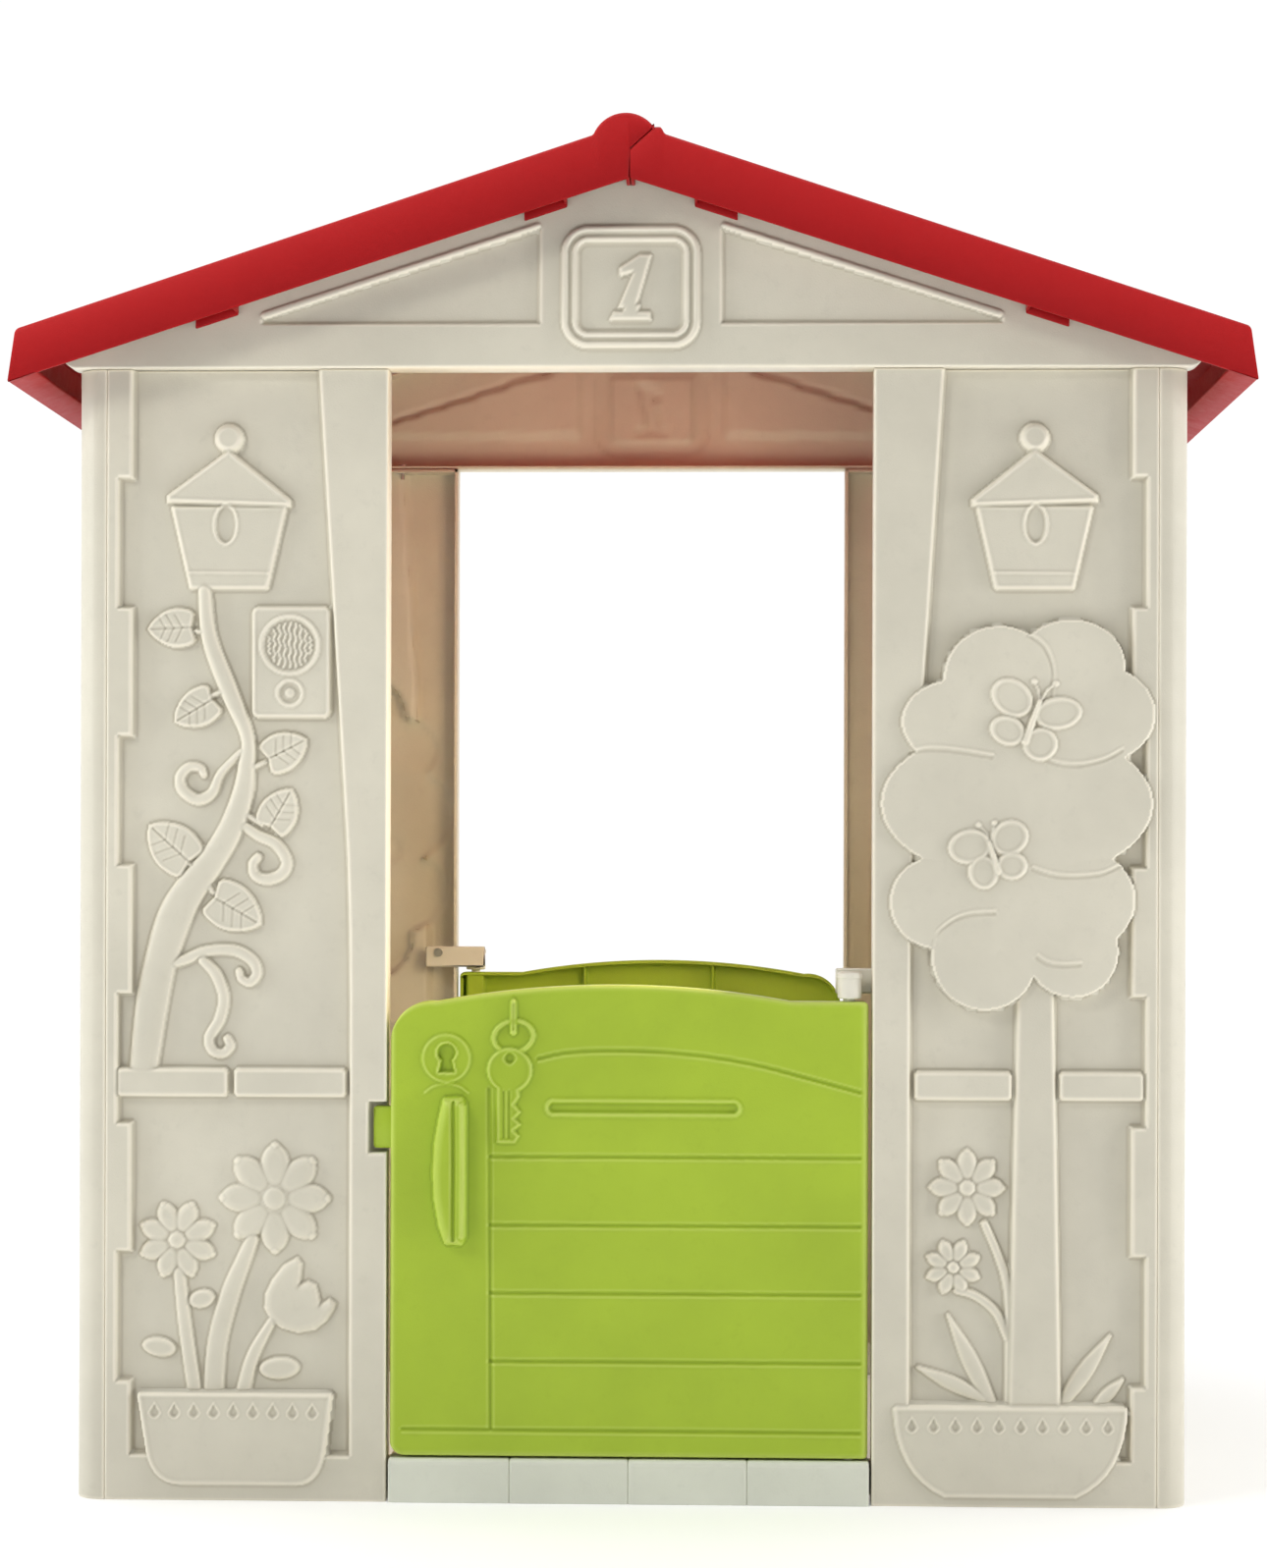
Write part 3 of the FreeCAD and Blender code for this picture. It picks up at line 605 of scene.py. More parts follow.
def vine_decoration(r):
    """Bird house on a vine, an intercom, two long stones and a pot of flowers."""
    birdhouse(r, -375.5, 2.0)
    stem = [(-398.4, 850, 13), (-393.6, 805.2, 16), (-373.8, 753, 18), (-357.9, 713.7, 14),
            (-358.5, 687.2, 17), (-362, 660.6, 21), (-373.5, 626.8, 24), (-391.1, 597.5, 26),
            (-412.3, 569.1, 31), (-426.6, 542.6, 34), (-438.9, 503.2, 32), (-446.8, 463.9, 32),
            (-453.5, 411.8, 29), (-455.5, 392, 28)]
    curl(r, [(-364, 699, 7), (-382.7, 679, 9), (-391.1, 660.6, 11), (-405, 654.5, 12), (-418.5, 663, 12),
             (-421, 675.5, 11), (-413.5, 684.5, 10), (-402.5, 684, 9), (-399, 678, 8)])
    curl(r, [(-364.3, 632.3, 9), (-348.6, 621.3, 11), (-331, 613, 12), (-321, 597.5, 12), (-325, 585.5, 12),
             (-338.4, 580, 12), (-350, 583.5, 11), (-352.5, 594, 10), (-348, 600.5, 9)])
    curl(r, [(-432, 499.5, 9), (-415.1, 505, 11), (-396.6, 512.5, 11), (-370.5, 513.5, 12),
             (-353.5, 504.5, 12), (-348.5, 492.5, 11), (-354.5, 484, 10), (-362.5, 486.5, 9),
             (-365, 493.5, 8)])
    curl(r, [(-399.4, 504, 10), (-387, 491, 12), (-379.5, 469.4, 12), (-383.5, 448.4, 12), (-393, 431.9, 11),
             (-390, 419.8, 11), (-380.4, 417, 10), (-373.5, 423.5, 10), (-376, 430.5, 9)])
    r.tube(curve(stem), FIELD, 9.0, 2.6)
    stalks = ([(-406, 812, 5), (-391, 809, 6)], [(-391, 752, 5), (-379, 757, 6)],
              [(-341, 690, 5), (-354, 684, 6)], [(-344, 631, 5), (-358, 640, 6)],
              [(-413, 595, 6), (-398, 588, 6)], [(-390, 568, 6), (-399, 582, 6)])
    for points in stalks:
        r.tube(points, FIELD, 5.0)
    for one in ((-429.4, 814.8, 47, 38, 183), (-407.0, 738.4, 47, 37, 211), (-321.8, 700.9, 46, 38, 27),
                (-326.9, 645.1, 46, 38, 60), (-429.5, 612.0, 57, 46, 138), (-368.5, 551.5, 57, 46, 330)):
        leaf(r, *one)
    intercom(r)
    ledge(r, -480, -374)
    ledge(r, -370, -263)
    stems = ([(-420.6, 212, 12), (-414.2, 155.6, 14), (-404.9, 96, 15)],
             [(-352.3, 243, 13), (-361, 222, 16), (-372.6, 192.2, 19), (-384.6, 146.4, 20),
              (-388.5, 96, 21)],
             [(-332.9, 168, 9), (-351.3, 134, 13), (-361.5, 96, 15)])
    for points in stems:
        r.tube(curve(points), FIELD, 6.0, 2.6)
    daisy(r, -331.0, 281.8, 53.0, 0.0)
    daisy(r, -422.5, 242.5, 38.5, 22.5)
    tulip = [(-310, 226), (-322.1, 219), (-333, 205), (-339, 192.4), (-340, 179), (-334.5, 168),
             (-324, 160.5), (-308.7, 156.6), (-293.0, 159.5), (-282.5, 168), (-275.5, 179), (-274, 184),
             (-279.6, 187.5), (-288.5, 182), (-290, 192), (-293, 201), (-299.7, 204), (-308, 200.5),
             (-306.5, 212), (-306, 221)]
    r.pad(polygon(tulip, 1.3), FIELD, 7.2, 8)
    small_leaf(r, -399.6, 187.3, 26, 18, 15)
    small_leaf(r, -439.4, 142.0, 33, 19, -8)
    small_leaf(r, -326.4, 122.9, 39, 22, 4)
    outline = [(-455.0, 97.5), *bend((-447.2, 48), (-442.5, 18), (-417, 18)),
               *bend((-309, 18.3), (-289.5, 18.3), (-285.2, 48)), (-279.2, 97.5)]
    pot(r, outline, [(-441.9 + 18.45 * i, 84.6) for i in range(9)])


def tree_crown(r):
    """Crown of joined lobes with short creases where they meet."""
    lobes = ((426, 735, 60, 48), (408.4, 780, 50, 43), (303, 727.4, 51, 40), (342.5, 765, 52.5, 52),
             (285, 560, 43.5, 43), (424, 563, 44, 45), (329, 510, 49, 50), (410, 516, 43, 44),
             (358.5, 652, 125.5, 72), (355, 560, 70, 66))
    crown = joined(*[ellipse(*lobe) for lobe in lobes])
    r.pad(crown, FIELD, 14.0, 15.0)
    r.pad(crown, FIELD + 13.8, 2.0, 60.0)
    creases = ([(369.2, 811), (384, 800), (392.7, 778), (391.4, 752)],
               [(262, 702), (280, 705), (305, 703), (336.3, 698)],
               [(386, 695), (402, 690.5), (420, 690.5), (440, 695.5), (456, 704)],
               [(374, 594), (392, 588.5), (412, 587), (437, 589.5), (454, 597)],
               [(281, 517), (286, 534), (302, 547), (318, 552), (339, 553.5)],
               [(378.6, 512.5), (388, 507), (402, 505), (418, 506)])
    for crease in creases:
        line = curve(crease, 5)
        r.groove(line, 4.0, -0.8)
        r.groove(line - np.array([1.5, 3.5]), 4.2, 0.8)


def tree_decoration(r):
    """Bird house over a tree with two butterflies, two long stones and a bowl of flowers."""
    birdhouse(r, 375.0, -2.0)
    ledge(r, 264, 356)
    ledge(r, 398, 478)
    trunk = polygon([(353, 90), (400.5, 90), (393, 500), (361, 500)], 1.5)
    r.pad(trunk, FIELD, 9.0, 4.5)
    tree_crown(r)
    butterfly(r, 5.0, [(353.5, 750.0, 21, 17, -38), (396.0, 735.5, 22.5, 15.5, 8),
                       (349.5, 719.5, 17, 14, -20), (379.5, 707.0, 16.5, 16, 20)],
              ((379.0, 746.0), (366.0, 709.0)),
              [[(379, 745), (378, 756), (374, 765)], [(379, 745), (386, 757), (394, 763)]])
    butterfly(r, 5.0, [(315.0, 612.0, 20.5, 16.5, 10), (351.5, 620.5, 18.5, 16.5, 30),
                       (327.5, 588.5, 14.5, 16.5, 8), (353.5, 594.5, 15, 13.5, 0)],
              ((332.5, 616.0), (341.0, 589.0)),
              [[(333, 615), (331, 624), (323, 632)], [(333, 615), (336, 626), (338, 634)]])
    stems = ([(330.5, 262, 8), (345, 228, 9), (352.3, 201.3, 10), (354.0, 165, 10), (354, 90, 11)],
             [(305, 200, 8), (322, 195, 9), (341, 180, 9), (352.3, 156, 9)])
    for points in stems:
        r.tube(curve(points), FIELD, 5.5, 2.6)
    blades = (((296.9, 176.6), (338.7, 92), 17), ((268.7, 128.1), (330, 100), 15),
              ((446.5, 158.5), (402, 94), 16), ((458.5, 118), (433, 92), 13))
    for a, b, wide in blades:
        mid = ((a[0] + b[0]) / 2, (a[1] + b[1]) / 2)
        r.tube(curve([(*a, 4), (*mid, wide), (*b, wide * 0.7)], 8), FIELD, 5.5, 2.2)
    daisy(r, 314.2, 295.5, 36.5, 0.0)
    daisy(r, 301.4, 221.4, 27.5, 22.5)
    bowl = [(249, 90), *bend((250.2, 78), (256, 30), (294, 12.5)),
            *bend((414, 12.5), (452, 30), (457.8, 78)), (459, 90)]
    pot(r, bowl, [(263 + 20.1 * i, 76.5) for i in range(10)])


def field_edge(side, shift=0.0):
    """Outline of a panel's sunk field: corner stones on one side, a slanted edge beside the doorway."""
    wide, narrow, top, pitch = 465.0, 478.0, 954.3, 120.4
    points = [(wide, 43.0)]
    for i in reversed(range(8)):
        a, b = (wide, narrow) if i % 2 else (narrow, wide)
        points += [(a, top - i * pitch), (b, top - i * pitch)]
    points += [(wide, WALL_TOP + 20)]
    if shift:
        points = [(u - shift, v) for u, v in points]
        return polygon(points + [(-u, v) for u, v in reversed(points)])
    points += [(292.6, WALL_TOP + 20), (272.0, 740), (266.4, 650), (263.5, 600), (261.7, 535), (261, 470),
               (261, 43)]
    return polygon([(side * u, v) for u, v in points])


def on_front(u, v, h):
    """Places a relief's points on the outer face of the front wall."""
    return np.stack([u, -WALL_Y - h, v], -1)


def wall_panel(name, side, decorate):
    """A panel beside the doorway; side is -1 left of the front doorway and 1 right of it."""
    low, high = sorted((side * DOORWAY_X, side * SEAM_X))
    line_u = rulings(low, high, 2.0, 2.0)
    line_v = rulings(0.0, WALL_TOP, 1.5, 1.5)
    u, v = np.meshgrid(line_u, line_v, indexing="ij")
    field = field_edge(side)

    def heights(a, b):
        r = Relief(a, b)
        r.level(field, FIELD, 4.0)
        decorate(r)
        if side < 0:
            notch = rect(-242.5, 325.5, -DOORWAY_X + 20, 372.5)     # clears the door's stop tab
            r.level(notch, -16.2, 1.2)
        edge = np.minimum.reduce([a - low, high - a])
        return r.h - border_drop(edge, 2.0) - border_drop(np.minimum(b, WALL_TOP - b), 1.5)
    return moulding(name, u, v, on_front, heights(u, v), lambda a, b: heights(a, b) - SKIN,
                    turned_edges(on_front, u, v, EDGE, SKIN))


# ---------------------------------------------------------------- gables
GABLE_FACE = WALL_Y + 4.0
GABLE_TIP_X, GABLE_CORNER = 531.0, 14.0     # half width, and radius of the lower corners
GABLE_HEAD_Z = 1237.0                       # flat top, hidden inside the roof
ROOF_SLOPE = 0.3316
RIDGE_Z = 1275.0


def gable_foot(u):
    """Height of the gable's lower edge, round at its tips."""
    over = np.clip(np.abs(u) - (GABLE_TIP_X - GABLE_CORNER), 0, GABLE_CORNER)
    return WALL_TOP + 0.4 + GABLE_CORNER - np.sqrt(GABLE_CORNER ** 2 - over ** 2)


def numeral():
    """Outline of the house number."""
    stroke = [(-10.5, 1112), (4, 1112), (18, 1160), (8.5, 1160), (-10, 1148), (-9, 1142), (3.5, 1145)]
    return joined(polygon(stroke, 1.6),
                  polygon([(-18.5, 1100.5), (18, 1100.5), (17, 1107), (-15.5, 1107)], 1.6),
                  polygon([(-8, 1105), (6, 1105), (8, 1114), (-5, 1114)], 1.2))


def gable_mesh():
    """Gable with two sunk triangles and a numbered badge."""
    line_u = rulings(-GABLE_TIP_X, GABLE_TIP_X, 2.5, 2.5)
    tall = 160.0
    line_t = rulings(0.0, tall, 2.0, 2.0) / tall
    u, t = np.meshgrid(line_u, line_t, indexing="ij")
    foot = gable_foot(u)
    top = np.minimum(RIDGE_Z - ROOF_SLOPE * np.abs(u) - 4.9, GABLE_HEAD_Z)
    v = foot + t * (top - foot)

    def heights(a, b):
        r = Relief(a, b)
        for s in (-1, 1):
            panel = polygon([(s * 85, 1098), (s * 343, 1098), (s * 343, 1104), (s * 85, 1186)])
            r.level(panel, -5.0, 4.0)
            r.tube([(s * 87, 1187.5, 6.0), (s * 341, 1105.5, 7.5)], 0.0, 2.6)
        badge = rect(-65, 1073, 65, 1188, 26)
        r.pad(badge, 0.0, 5.0, 4.5)
        r.level(grown(badge, -6.5), 2.2, 3.0)
        r.ridge(grown(badge, -13), 2.6, 5.5)
        r.level(grown(badge, -17.0), -0.4, 3.0)
        r.pad(numeral(), -0.4, 4.4, 3.0)
        return r.h - border_drop(GABLE_TIP_X - np.abs(a), 2.5) - border_drop(b - gable_foot(a), 2.0)

    def place(a, b, h):
        return np.stack([a, -GABLE_FACE - h, b], -1)
    return moulding("gable", u, v, place, heights(u, v), lambda a, b: heights(a, b) - SKIN,
                    turned_edges(place, u, v, EDGE, SKIN))


# ---------------------------------------------------------------- doors
def arc_through(p, q, s):
    """Height of the circular arc through three points, as a function of u."""
    (ax, ay), (bx, by), (cx, cy) = p, q, s
    d = 2 * (ax * (by - cy) + bx * (cy - ay) + cx * (ay - by))
    a2, b2, c2 = ax * ax + ay * ay, bx * bx + by * by, cx * cx + cy * cy
    ux = (a2 * (by - cy) + b2 * (cy - ay) + c2 * (ay - by)) / d
    uy = (a2 * (cx - bx) + b2 * (ax - cx) + c2 * (bx - ax)) / d
    radius = math.hypot(ax - ux, ay - uy)
    return lambda x: uy + np.sqrt(np.maximum(radius ** 2 - (x - ux) ** 2, 0))


DOOR_THICK = 26.0
DOOR_HALF = 222.5       # half the door's width
DOOR_FOOT = 43.0        # height of its lower edge
DOOR_HEAD = 467.6       # height of its upper edge beside the hinge
HINGE_X = 205.0


def door_edges(u):
    """Lowest and highest points of the door at u."""
    left, right = -DOOR_HALF, DOOR_HALF
    shoulder = arc_through((left, 427.6), (left + 11, 455.6), (-180, 466.6))
    arch = arc_through((-180, 466.6), (-12, 482.2), (150, DOOR_HEAD))
    top = np.where(u < -180, shoulder(u), np.where(u < 150, arch(u), DOOR_HEAD))
    near_left = np.clip(left + 14 - u, 0, 14)
    near_right = np.clip(u - (right - 5), 0, 5)
    foot = DOOR_FOOT + 14 - np.sqrt(14 ** 2 - near_left ** 2) + 5 - np.sqrt(25 - near_right ** 2)
    top = top - (5 - np.sqrt(25 - near_right ** 2))
    return foot, top


def door_boards(r):
    """Joints of the boards and the arched line over them, each with a bead under it."""
    for line in ([(-128.6, z), (214.5, z)] for z in (322.6, 258.9, 195.5, 131.9)):
        r.groove(line, 4.2, 1.7)
        r.groove([(p, z - 3.4) for p, z in line], 3.6, -0.5)
    r.groove([(-210, 68.2), (215, 67.4)], 4.2, 1.7)
    r.groove([(-210, 64.8), (215, 64)], 3.6, -0.5)
    r.groove([(-130, 385), (-128, 70)], 4.2, 1.7)
    arch = curve([(-84, 414.0), (-51.9, 420.2), (4.7, 421.5), (61.2, 418), (114.4, 409.8), (160.8, 398.2),
                  (214, 384)], 6)
    r.groove(arch, 4.4, 1.7)
    r.groove(arch - np.array([0, 3.4]), 3.6, -0.5)
    slot = rect(-79, 359, 106, 377.5, 9)
    r.ridge(grown(slot, -2.5), 1.6, 5.0)
    r.level(grown(slot, -5.0), -2.2, 3.0)


def door_lock(r):
    """Round lock plate with a keyhole over a smile-shaped bead."""
    plate = circle(-170.0, 413.8, 23.5)
    r.pad(plate, 0.0, 1.6, 3)
    r.ridge(grown(plate, -2.0), 0.8, 3.4)
    skirt = polygon([(-174, 416), (-166, 416), (-162.5, 401), (-177, 401)], 1.2)
    keyhole = joined(circle(-170.0, 419.0, 9.5), skirt)
    r.ridge(keyhole, 1.4, 3.2)
    r.level(grown(keyhole, -1.4), -2.8, 2.4)
    r.groove(curve([(-190, 382), (-182, 387.5), (-170.3, 390), (-158, 387.5), (-150, 382)], 5), 3.6, -1.3)


def door_handle(r):
    """Tall handle with a rolled grip down one side."""
    outline = [(-156, 242), (-153.5, 246), (-153, 309), (-153.5, 372), (-156, 376), (-171, 375.5),
               (-175, 358), (-179, 335), (-180.5, 309), (-179.5, 284), (-175, 258), (-169.5, 242.5)]
    r.pad(polygon(outline, 2.5), 0.0, 15.0, 9.0)
    r.tube([(-155.0, 370, 7.5), (-154.5, 309, 8.5), (-155.0, 249, 7.5)], 8.0, 9.4, 2.4)
    r.groove([(-162.4, 373), (-162.2, 309), (-162.4, 246)], 4.6, 3.0)


def door_keys(r):
    """Key hanging from a ring on a peg."""
    r.ridge(ellipse(-107.6, 434.0, 18.5, 14.5, 12), 3.0, 5.4)
    r.tube([(-107.6, 467, 5.5), (-107.6, 438, 6.5)], 0.0, 5.2)
    r.groove([(-107.6, 464), (-107.6, 441)], 1.8, 1.6)
    teeth = [(-122.5, 392), (-122.5, 335.5), (-106.0, 335.5), (-102.5, 341.5), (-107.5, 347), (-101, 352.5),
             (-106.5, 358), (-101, 364), (-107.0, 371), (-102.5, 378), (-103, 392)]
    key = joined(circle(-110.9, 403.0, 21.5), polygon(teeth, 1.0))
    r.pad(key, 0.0, 3.4, 2.6)
    r.level(grown(key, -3.4), 2.1, 1.8)
    r.level(circle(-110.9, 414.0, 4.6), -1.0, 2.0)
    for u in (-116.4, -111.4):
        r.groove([(u, 383), (u, 340)], 2.2, 1.4)


def door_front(a, b):
    """Heights of the door's outer face."""
    r = Relief(a, b)
    for part in (door_boards, door_lock, door_handle, door_keys):
        part(r)
    return r.h


def door_mesh():
    """Half door with its boards, lock, handle and keys."""
    line_u = rulings(-DOOR_HALF, DOOR_HALF, 5.0, 8.0)
    tall = 430.0
    line_t = rulings(0.0, tall, 5.0, 5.0) / tall
    u, t = np.meshgrid(line_u, line_t, indexing="ij")
    foot, top = door_edges(u)
    v = foot + t * (top - foot)

    def heights(a, b):
        low, high = door_edges(a)
        drop = np.maximum.reduce([border_drop(a + DOOR_HALF, 5.0), border_drop(DOOR_HALF - a, 8.0),
                                  border_drop(b - low, 5.0), border_drop(high - b, 5.0)])
        return door_front(a, b) - drop

    def inside(a, b):
        r = Relief(a, b, -SKIN)
        for z in (150, 257, 364):
            r.level(rect(-221, z, 221, z + 3.5), -22, 1.0)
        for x in (-75, 75):
            r.level(rect(x, 30, x + 3.5, 490), -22, 1.0)
        for z0, z1 in ((424, 470), (30, 88)):
            r.level(rect(HINGE_X - 10, z0, HINGE_X + 11, z1), -24, 1.0)
        return r.h
    return moulding("door", u, v, on_front, heights(u, v), inside,
                    turned_edges(on_front, u, v, DOOR_THICK, SKIN), back_limit=1.0)


# ---------------------------------------------------------------- side walls
WALL_X = 518.0
CORNER = 25.0                           # radius of the wall's upright corners
FLAT = WALL_Y - CORNER                  # half length of its flat stretch
QUARTER = CORNER * math.pi / 2
RUN = FLAT + QUARTER + (WALL_X - CORNER - SEAM_X)
WINDOW = rect(-208, 452, 208, 888, 30)  # outline of the window's frame
PANES = [rect(min(u, 11 * s), min(v, w), max(u, 11 * s), max(v, w), 3.5)
         for s, u in ((-1, -180.0), (1, 180.0)) for v, w in ((480.0, 659.0), (681.0, 860.0))]


def on_side(s, v, h):
    """s runs along the wall, round its corners and onto the front and back."""
    over = np.clip(np.abs(s) - FLAT, 0, QUARTER)
    turn = over / CORNER
    foot = np.maximum(np.abs(s) - FLAT - QUARTER, 0)
    sign = np.sign(s)
    x = WALL_X - CORNER + (CORNER + h) * np.cos(turn) - foot
    y = sign * (np.minimum(np.abs(s), FLAT) + (CORNER + h) * np.sin(turn))
    return np.stack([x, y, v], -1)


def side_heights(a, b):
    """Relief of a side wall: window, sill and planter, with flowers and leaves beside them."""
    r = Relief(a, b)
    r.level(field_edge(1, 120.0), FIELD, 4.0)
    ledge(r, -332, -222)
    ledge(r, 222, 332)
    for u, v, turn in ((-262, 640, 60), (-288, 575, 140), (262, 700, 120), (290, 770, 40)):
        leaf(r, u, v, 46, 36, turn)
    left_stem = [(-250, 404, 16), (-262, 520, 14), (-272, 600, 12), (-246, 690, 9), (-262, 780, 7)]
    right_stem = [(250, 404, 16), (266, 520, 14), (274, 620, 12), (250, 710, 9), (268, 830, 7)]
    for stem, u, v, turn in ((left_stem, -270, 830, 22.5), (right_stem, 270, 880, 0.0)):
        r.tube(curve(stem, 8), FIELD, 7.0, 2.6)
        daisy(r, u, v, 36, turn)
    r.pad(WINDOW, FIELD, 11.0, 5.0)
    r.level(rect(-190, 470, 190, 870, 18), -1.5, 4.0)
    r.level(joined(rect(-11, 470, 11, 870, 2), rect(-190, 659, 190, 681, 2)), 0.5, 4.0)
    r.pad(rect(-222, 438, 222, 460, 6), FIELD, 17.5, 6.0)
    planter = polygon([(-164, 426), (-136, 322), (136, 322), (164, 426)], 5)
    r.pad(planter, FIELD, 13.5, 5.0)
    r.level(grown(planter, -8), 1.4, 3.0)
    for u in range(-126, 127, 21):
        drop = joined(circle(u, 401, 5.0), polygon([(u - 4.2, 403), (u + 4.2, 403), (u, 411)]))
        r.level(drop, -0.9, 2.6)
    return r.h


def side_mesh():
    """Side wall with its four panes open, its corners folded onto the front and back."""
    line_s = rulings(-RUN, RUN, 1.5, 1.5, 1.7)
    line_v = rulings(0.0, WALL_TOP, 1.5, 1.5, 1.7)
    s, v = np.meshgrid(line_s, line_v, indexing="ij")

    def heights(a, b):
        h = side_heights(a, b) - border_drop(RUN - np.abs(a), 1.5)
        return h - border_drop(np.minimum(b, WALL_TOP - b), 1.5)

    def inside(a, b):
        h = side_heights(a, b) - SKIN
        m = smooth(0.5 - WINDOW[1](a, b) / 4.0)
        return h * (1 - m) - 28.0 * m

    def edge_depth(a, b):
        at = np.abs(a)
        flat = 28.4 + (21.0 - 28.4) * smooth((at - (FLAT - 30)) / 30)
        return np.where(at > FLAT + QUARTER, EDGE, flat)
    return moulding("side", s, v, on_side, heights(s, v), inside,
                    turned_edges(on_side, s, v, edge_depth, SKIN), holes=PANES, back_limit=4.0)


# ---------------------------------------------------------------- roof
ROOF_SKIN = 4.0
EAVE_X = 567.0
EAVE_FOOT_X, EAVE_FOOT_Z = 573.0, 1038.0
ROLL_X, ROLL_Z, ROLL_R = -4.0, 1252.0, 32.0
FASCIA_PEAK_Z = 1224.0
FASCIA_SLOPE = (FASCIA_PEAK_Z - EAVE_FOOT_Z) / EAVE_FOOT_X
COURSE = 66.0           # depth of one row of roof tiles along the slope
TILE = 110.0            # width of a roof tile


def roof_z(x):
    """Height of the roof's slope at x."""
    return RIDGE_Z - ROOF_SLOPE * np.abs(x)


def roof_tiles(x, y, ridge):
    """Shallow rows of tiles inside the plain border of a roof panel."""
    border = np.minimum.reduce([ROOF_Y - 26.0 - np.abs(y), EAVE_X - 20.0 - np.abs(x), np.abs(x) - ridge])
    along = (np.abs(x) - ridge) / COURSE
    row = np.floor(along)
    part = along - row
    wedge = 2.4 * part * (1 - smooth((part - 0.945) / 0.055))
    across = np.abs((y / TILE + 0.5 * (row % 2)) % 1.0 - 0.5) * TILE
    joint = 1.4 * np.clip(1 - (across / 1.8) ** 2, 0, 1)
    return (wedge - joint + 0.6) * smooth(border / 5.0)


def roof_mesh(name, side):
    """Open-bottomed roof panel; side is -1 for the panel that carries the ridge roll."""
    ends = (-EAVE_X, 22.0) if side < 0 else (0.15, EAVE_X)
    line_x = rulings(*ends, *((4.0, 1.0) if side < 0 else (1.0, 4.0)), 1.6)
    line_y = rulings(-ROOF_Y, ROOF_Y, 4.0, 4.0, 2.2)
    x, y = np.meshgrid(line_x, line_y, indexing="ij")

    def crown(a):
        """Height over the slope along the ridge: the roll, or the bead beside it."""
        if side < 0:
            roll = ROLL_Z + np.sqrt(np.maximum(ROLL_R ** 2 - (a - ROLL_X) ** 2, 0))
            return np.where(a > -34, np.maximum(roll - roof_z(a), 0), 0.0)
        under = np.minimum(1250.7 + 0.9013 * a, 1270.8) - roof_z(a)
        return np.where(a < 28, under, 4.9 * (1 - smooth((a - 28) / 4.5)))

    def heights(a, b):
        tiles = roof_tiles(a, b, 44.0 if side < 0 else 40.0) * (a * side > 0)
        h = crown(a) + tiles - border_drop(ROOF_Y - np.abs(b), 4.0)
        return h - border_drop(np.abs(a - side * EAVE_X), 4.0)

    def place(a, b, h):
        return np.stack([a, b, roof_z(a) + h], -1)

    def inside(a, b):
        return crown(a) - ROOF_SKIN

    def rings(li, lj):
        a, b = x[li, lj], y[li, lj]
        ends_y = (lj == 0) | (lj == y.shape[1] - 1)
        eave = (li == 0) if side < 0 else (li == x.shape[0] - 1)
        wide = a * EAVE_FOOT_X / EAVE_X
        low = FASCIA_PEAK_Z - FASCIA_SLOPE * np.abs(wide)
        if side < 0:
            low = np.where(a > 0, ROLL_Z - 1.0 + 0.9013 * a, low)
        sign = np.sign(b)

        def ring(dx, dy, z):
            return np.stack([wide + dx, b - sign * np.where(ends_y, dy, 0.0), z], -1)
        lip = np.where(eave, -side, 0.0)
        return [ring(0, 0, low + 1.2), ring(lip * 1.2, 1.0, low),
                ring(lip * 25.0, 3.2, low + np.where(eave, 8.2, 0.0)),
                ring(lip * 26.5, 4.0, low + np.where(eave, 11.0, 1.2)),
                ring(lip * 4.5, 4.0, low + np.where(eave, 5.5, 2.4))]
    return moulding(name, x, y, place, heights(x, y), inside, rings, ROOF_SKIN, 0.42, back_limit=0.5)


def rounded_box(low, high, r):
    """Points and faces of a box with rounded edges and corners, in mm."""
    low, high = np.array(low, float), np.array(high, float)
    r = min(r, *((high - low) / 2 - 0.01))
    arc = np.radians([0, 30, 60, 90])
    line = np.concatenate([-np.sin(arc[::-1]), np.sin(arc)])
    core = (high - low) / 2 - r
    n = len(line)
    half = n // 2
    shift = np.where(np.arange(n) < half, -1.0, 1.0)
    a, b = np.meshgrid(np.arange(n), np.arange(n), indexing="ij")
    quads = (a[:-1, :-1] * n + b[:-1, :-1]).ravel()
    quads = np.stack([quads, quads + n, quads + n + 1, quads + 1], 1)
    points, faces = [], []
    for axis in range(3):
        for way in (-1, 1):
            d = np.zeros((n, n, 3))
            p, q = (axis + 1) % 3, (axis + 2) % 3
            d[..., p] = line[a]
            d[..., q] = line[b]
            d[..., axis] = way * np.sqrt(np.maximum(1 - np.clip(d[..., p] ** 2 + d[..., q] ** 2, 0, 1), 0))
            size = np.maximum(np.linalg.norm(d, axis=-1, keepdims=True), 1e-9)
            at = d / size * r
            at[..., p] += shift[a] * core[p]
            at[..., q] += shift[b] * core[q]
            at[..., axis] += way * core[axis]
            faces.append((quads if way > 0 else quads[:, ::-1]) + len(points) * n * n)
            points.append(at.reshape(-1, 3) + (low + high) / 2)
    return np.vstack(points), np.vstack(faces)


def add_part(bm, points, faces):
    """Adds points in mm and the faces on them, leaving out collapsed faces; returns the points."""
    verts = [bm.verts.new(Vector(p) * MM) for p in points]
    for f in faces:
        if len(set(f)) == len(f):
            bm.faces.new([verts[i] for i in f]).smooth = True
    return verts


def write_solid(bm, mesh):
    """Writes the mesh with its edges over 40 degrees creased."""
    for e in bm.edges:
        if len(e.link_faces) == 2 and e.calc_face_angle(0) > math.radians(40):
            e.smooth = False
    bm.to_mesh(mesh)
    bm.free()
    return mesh


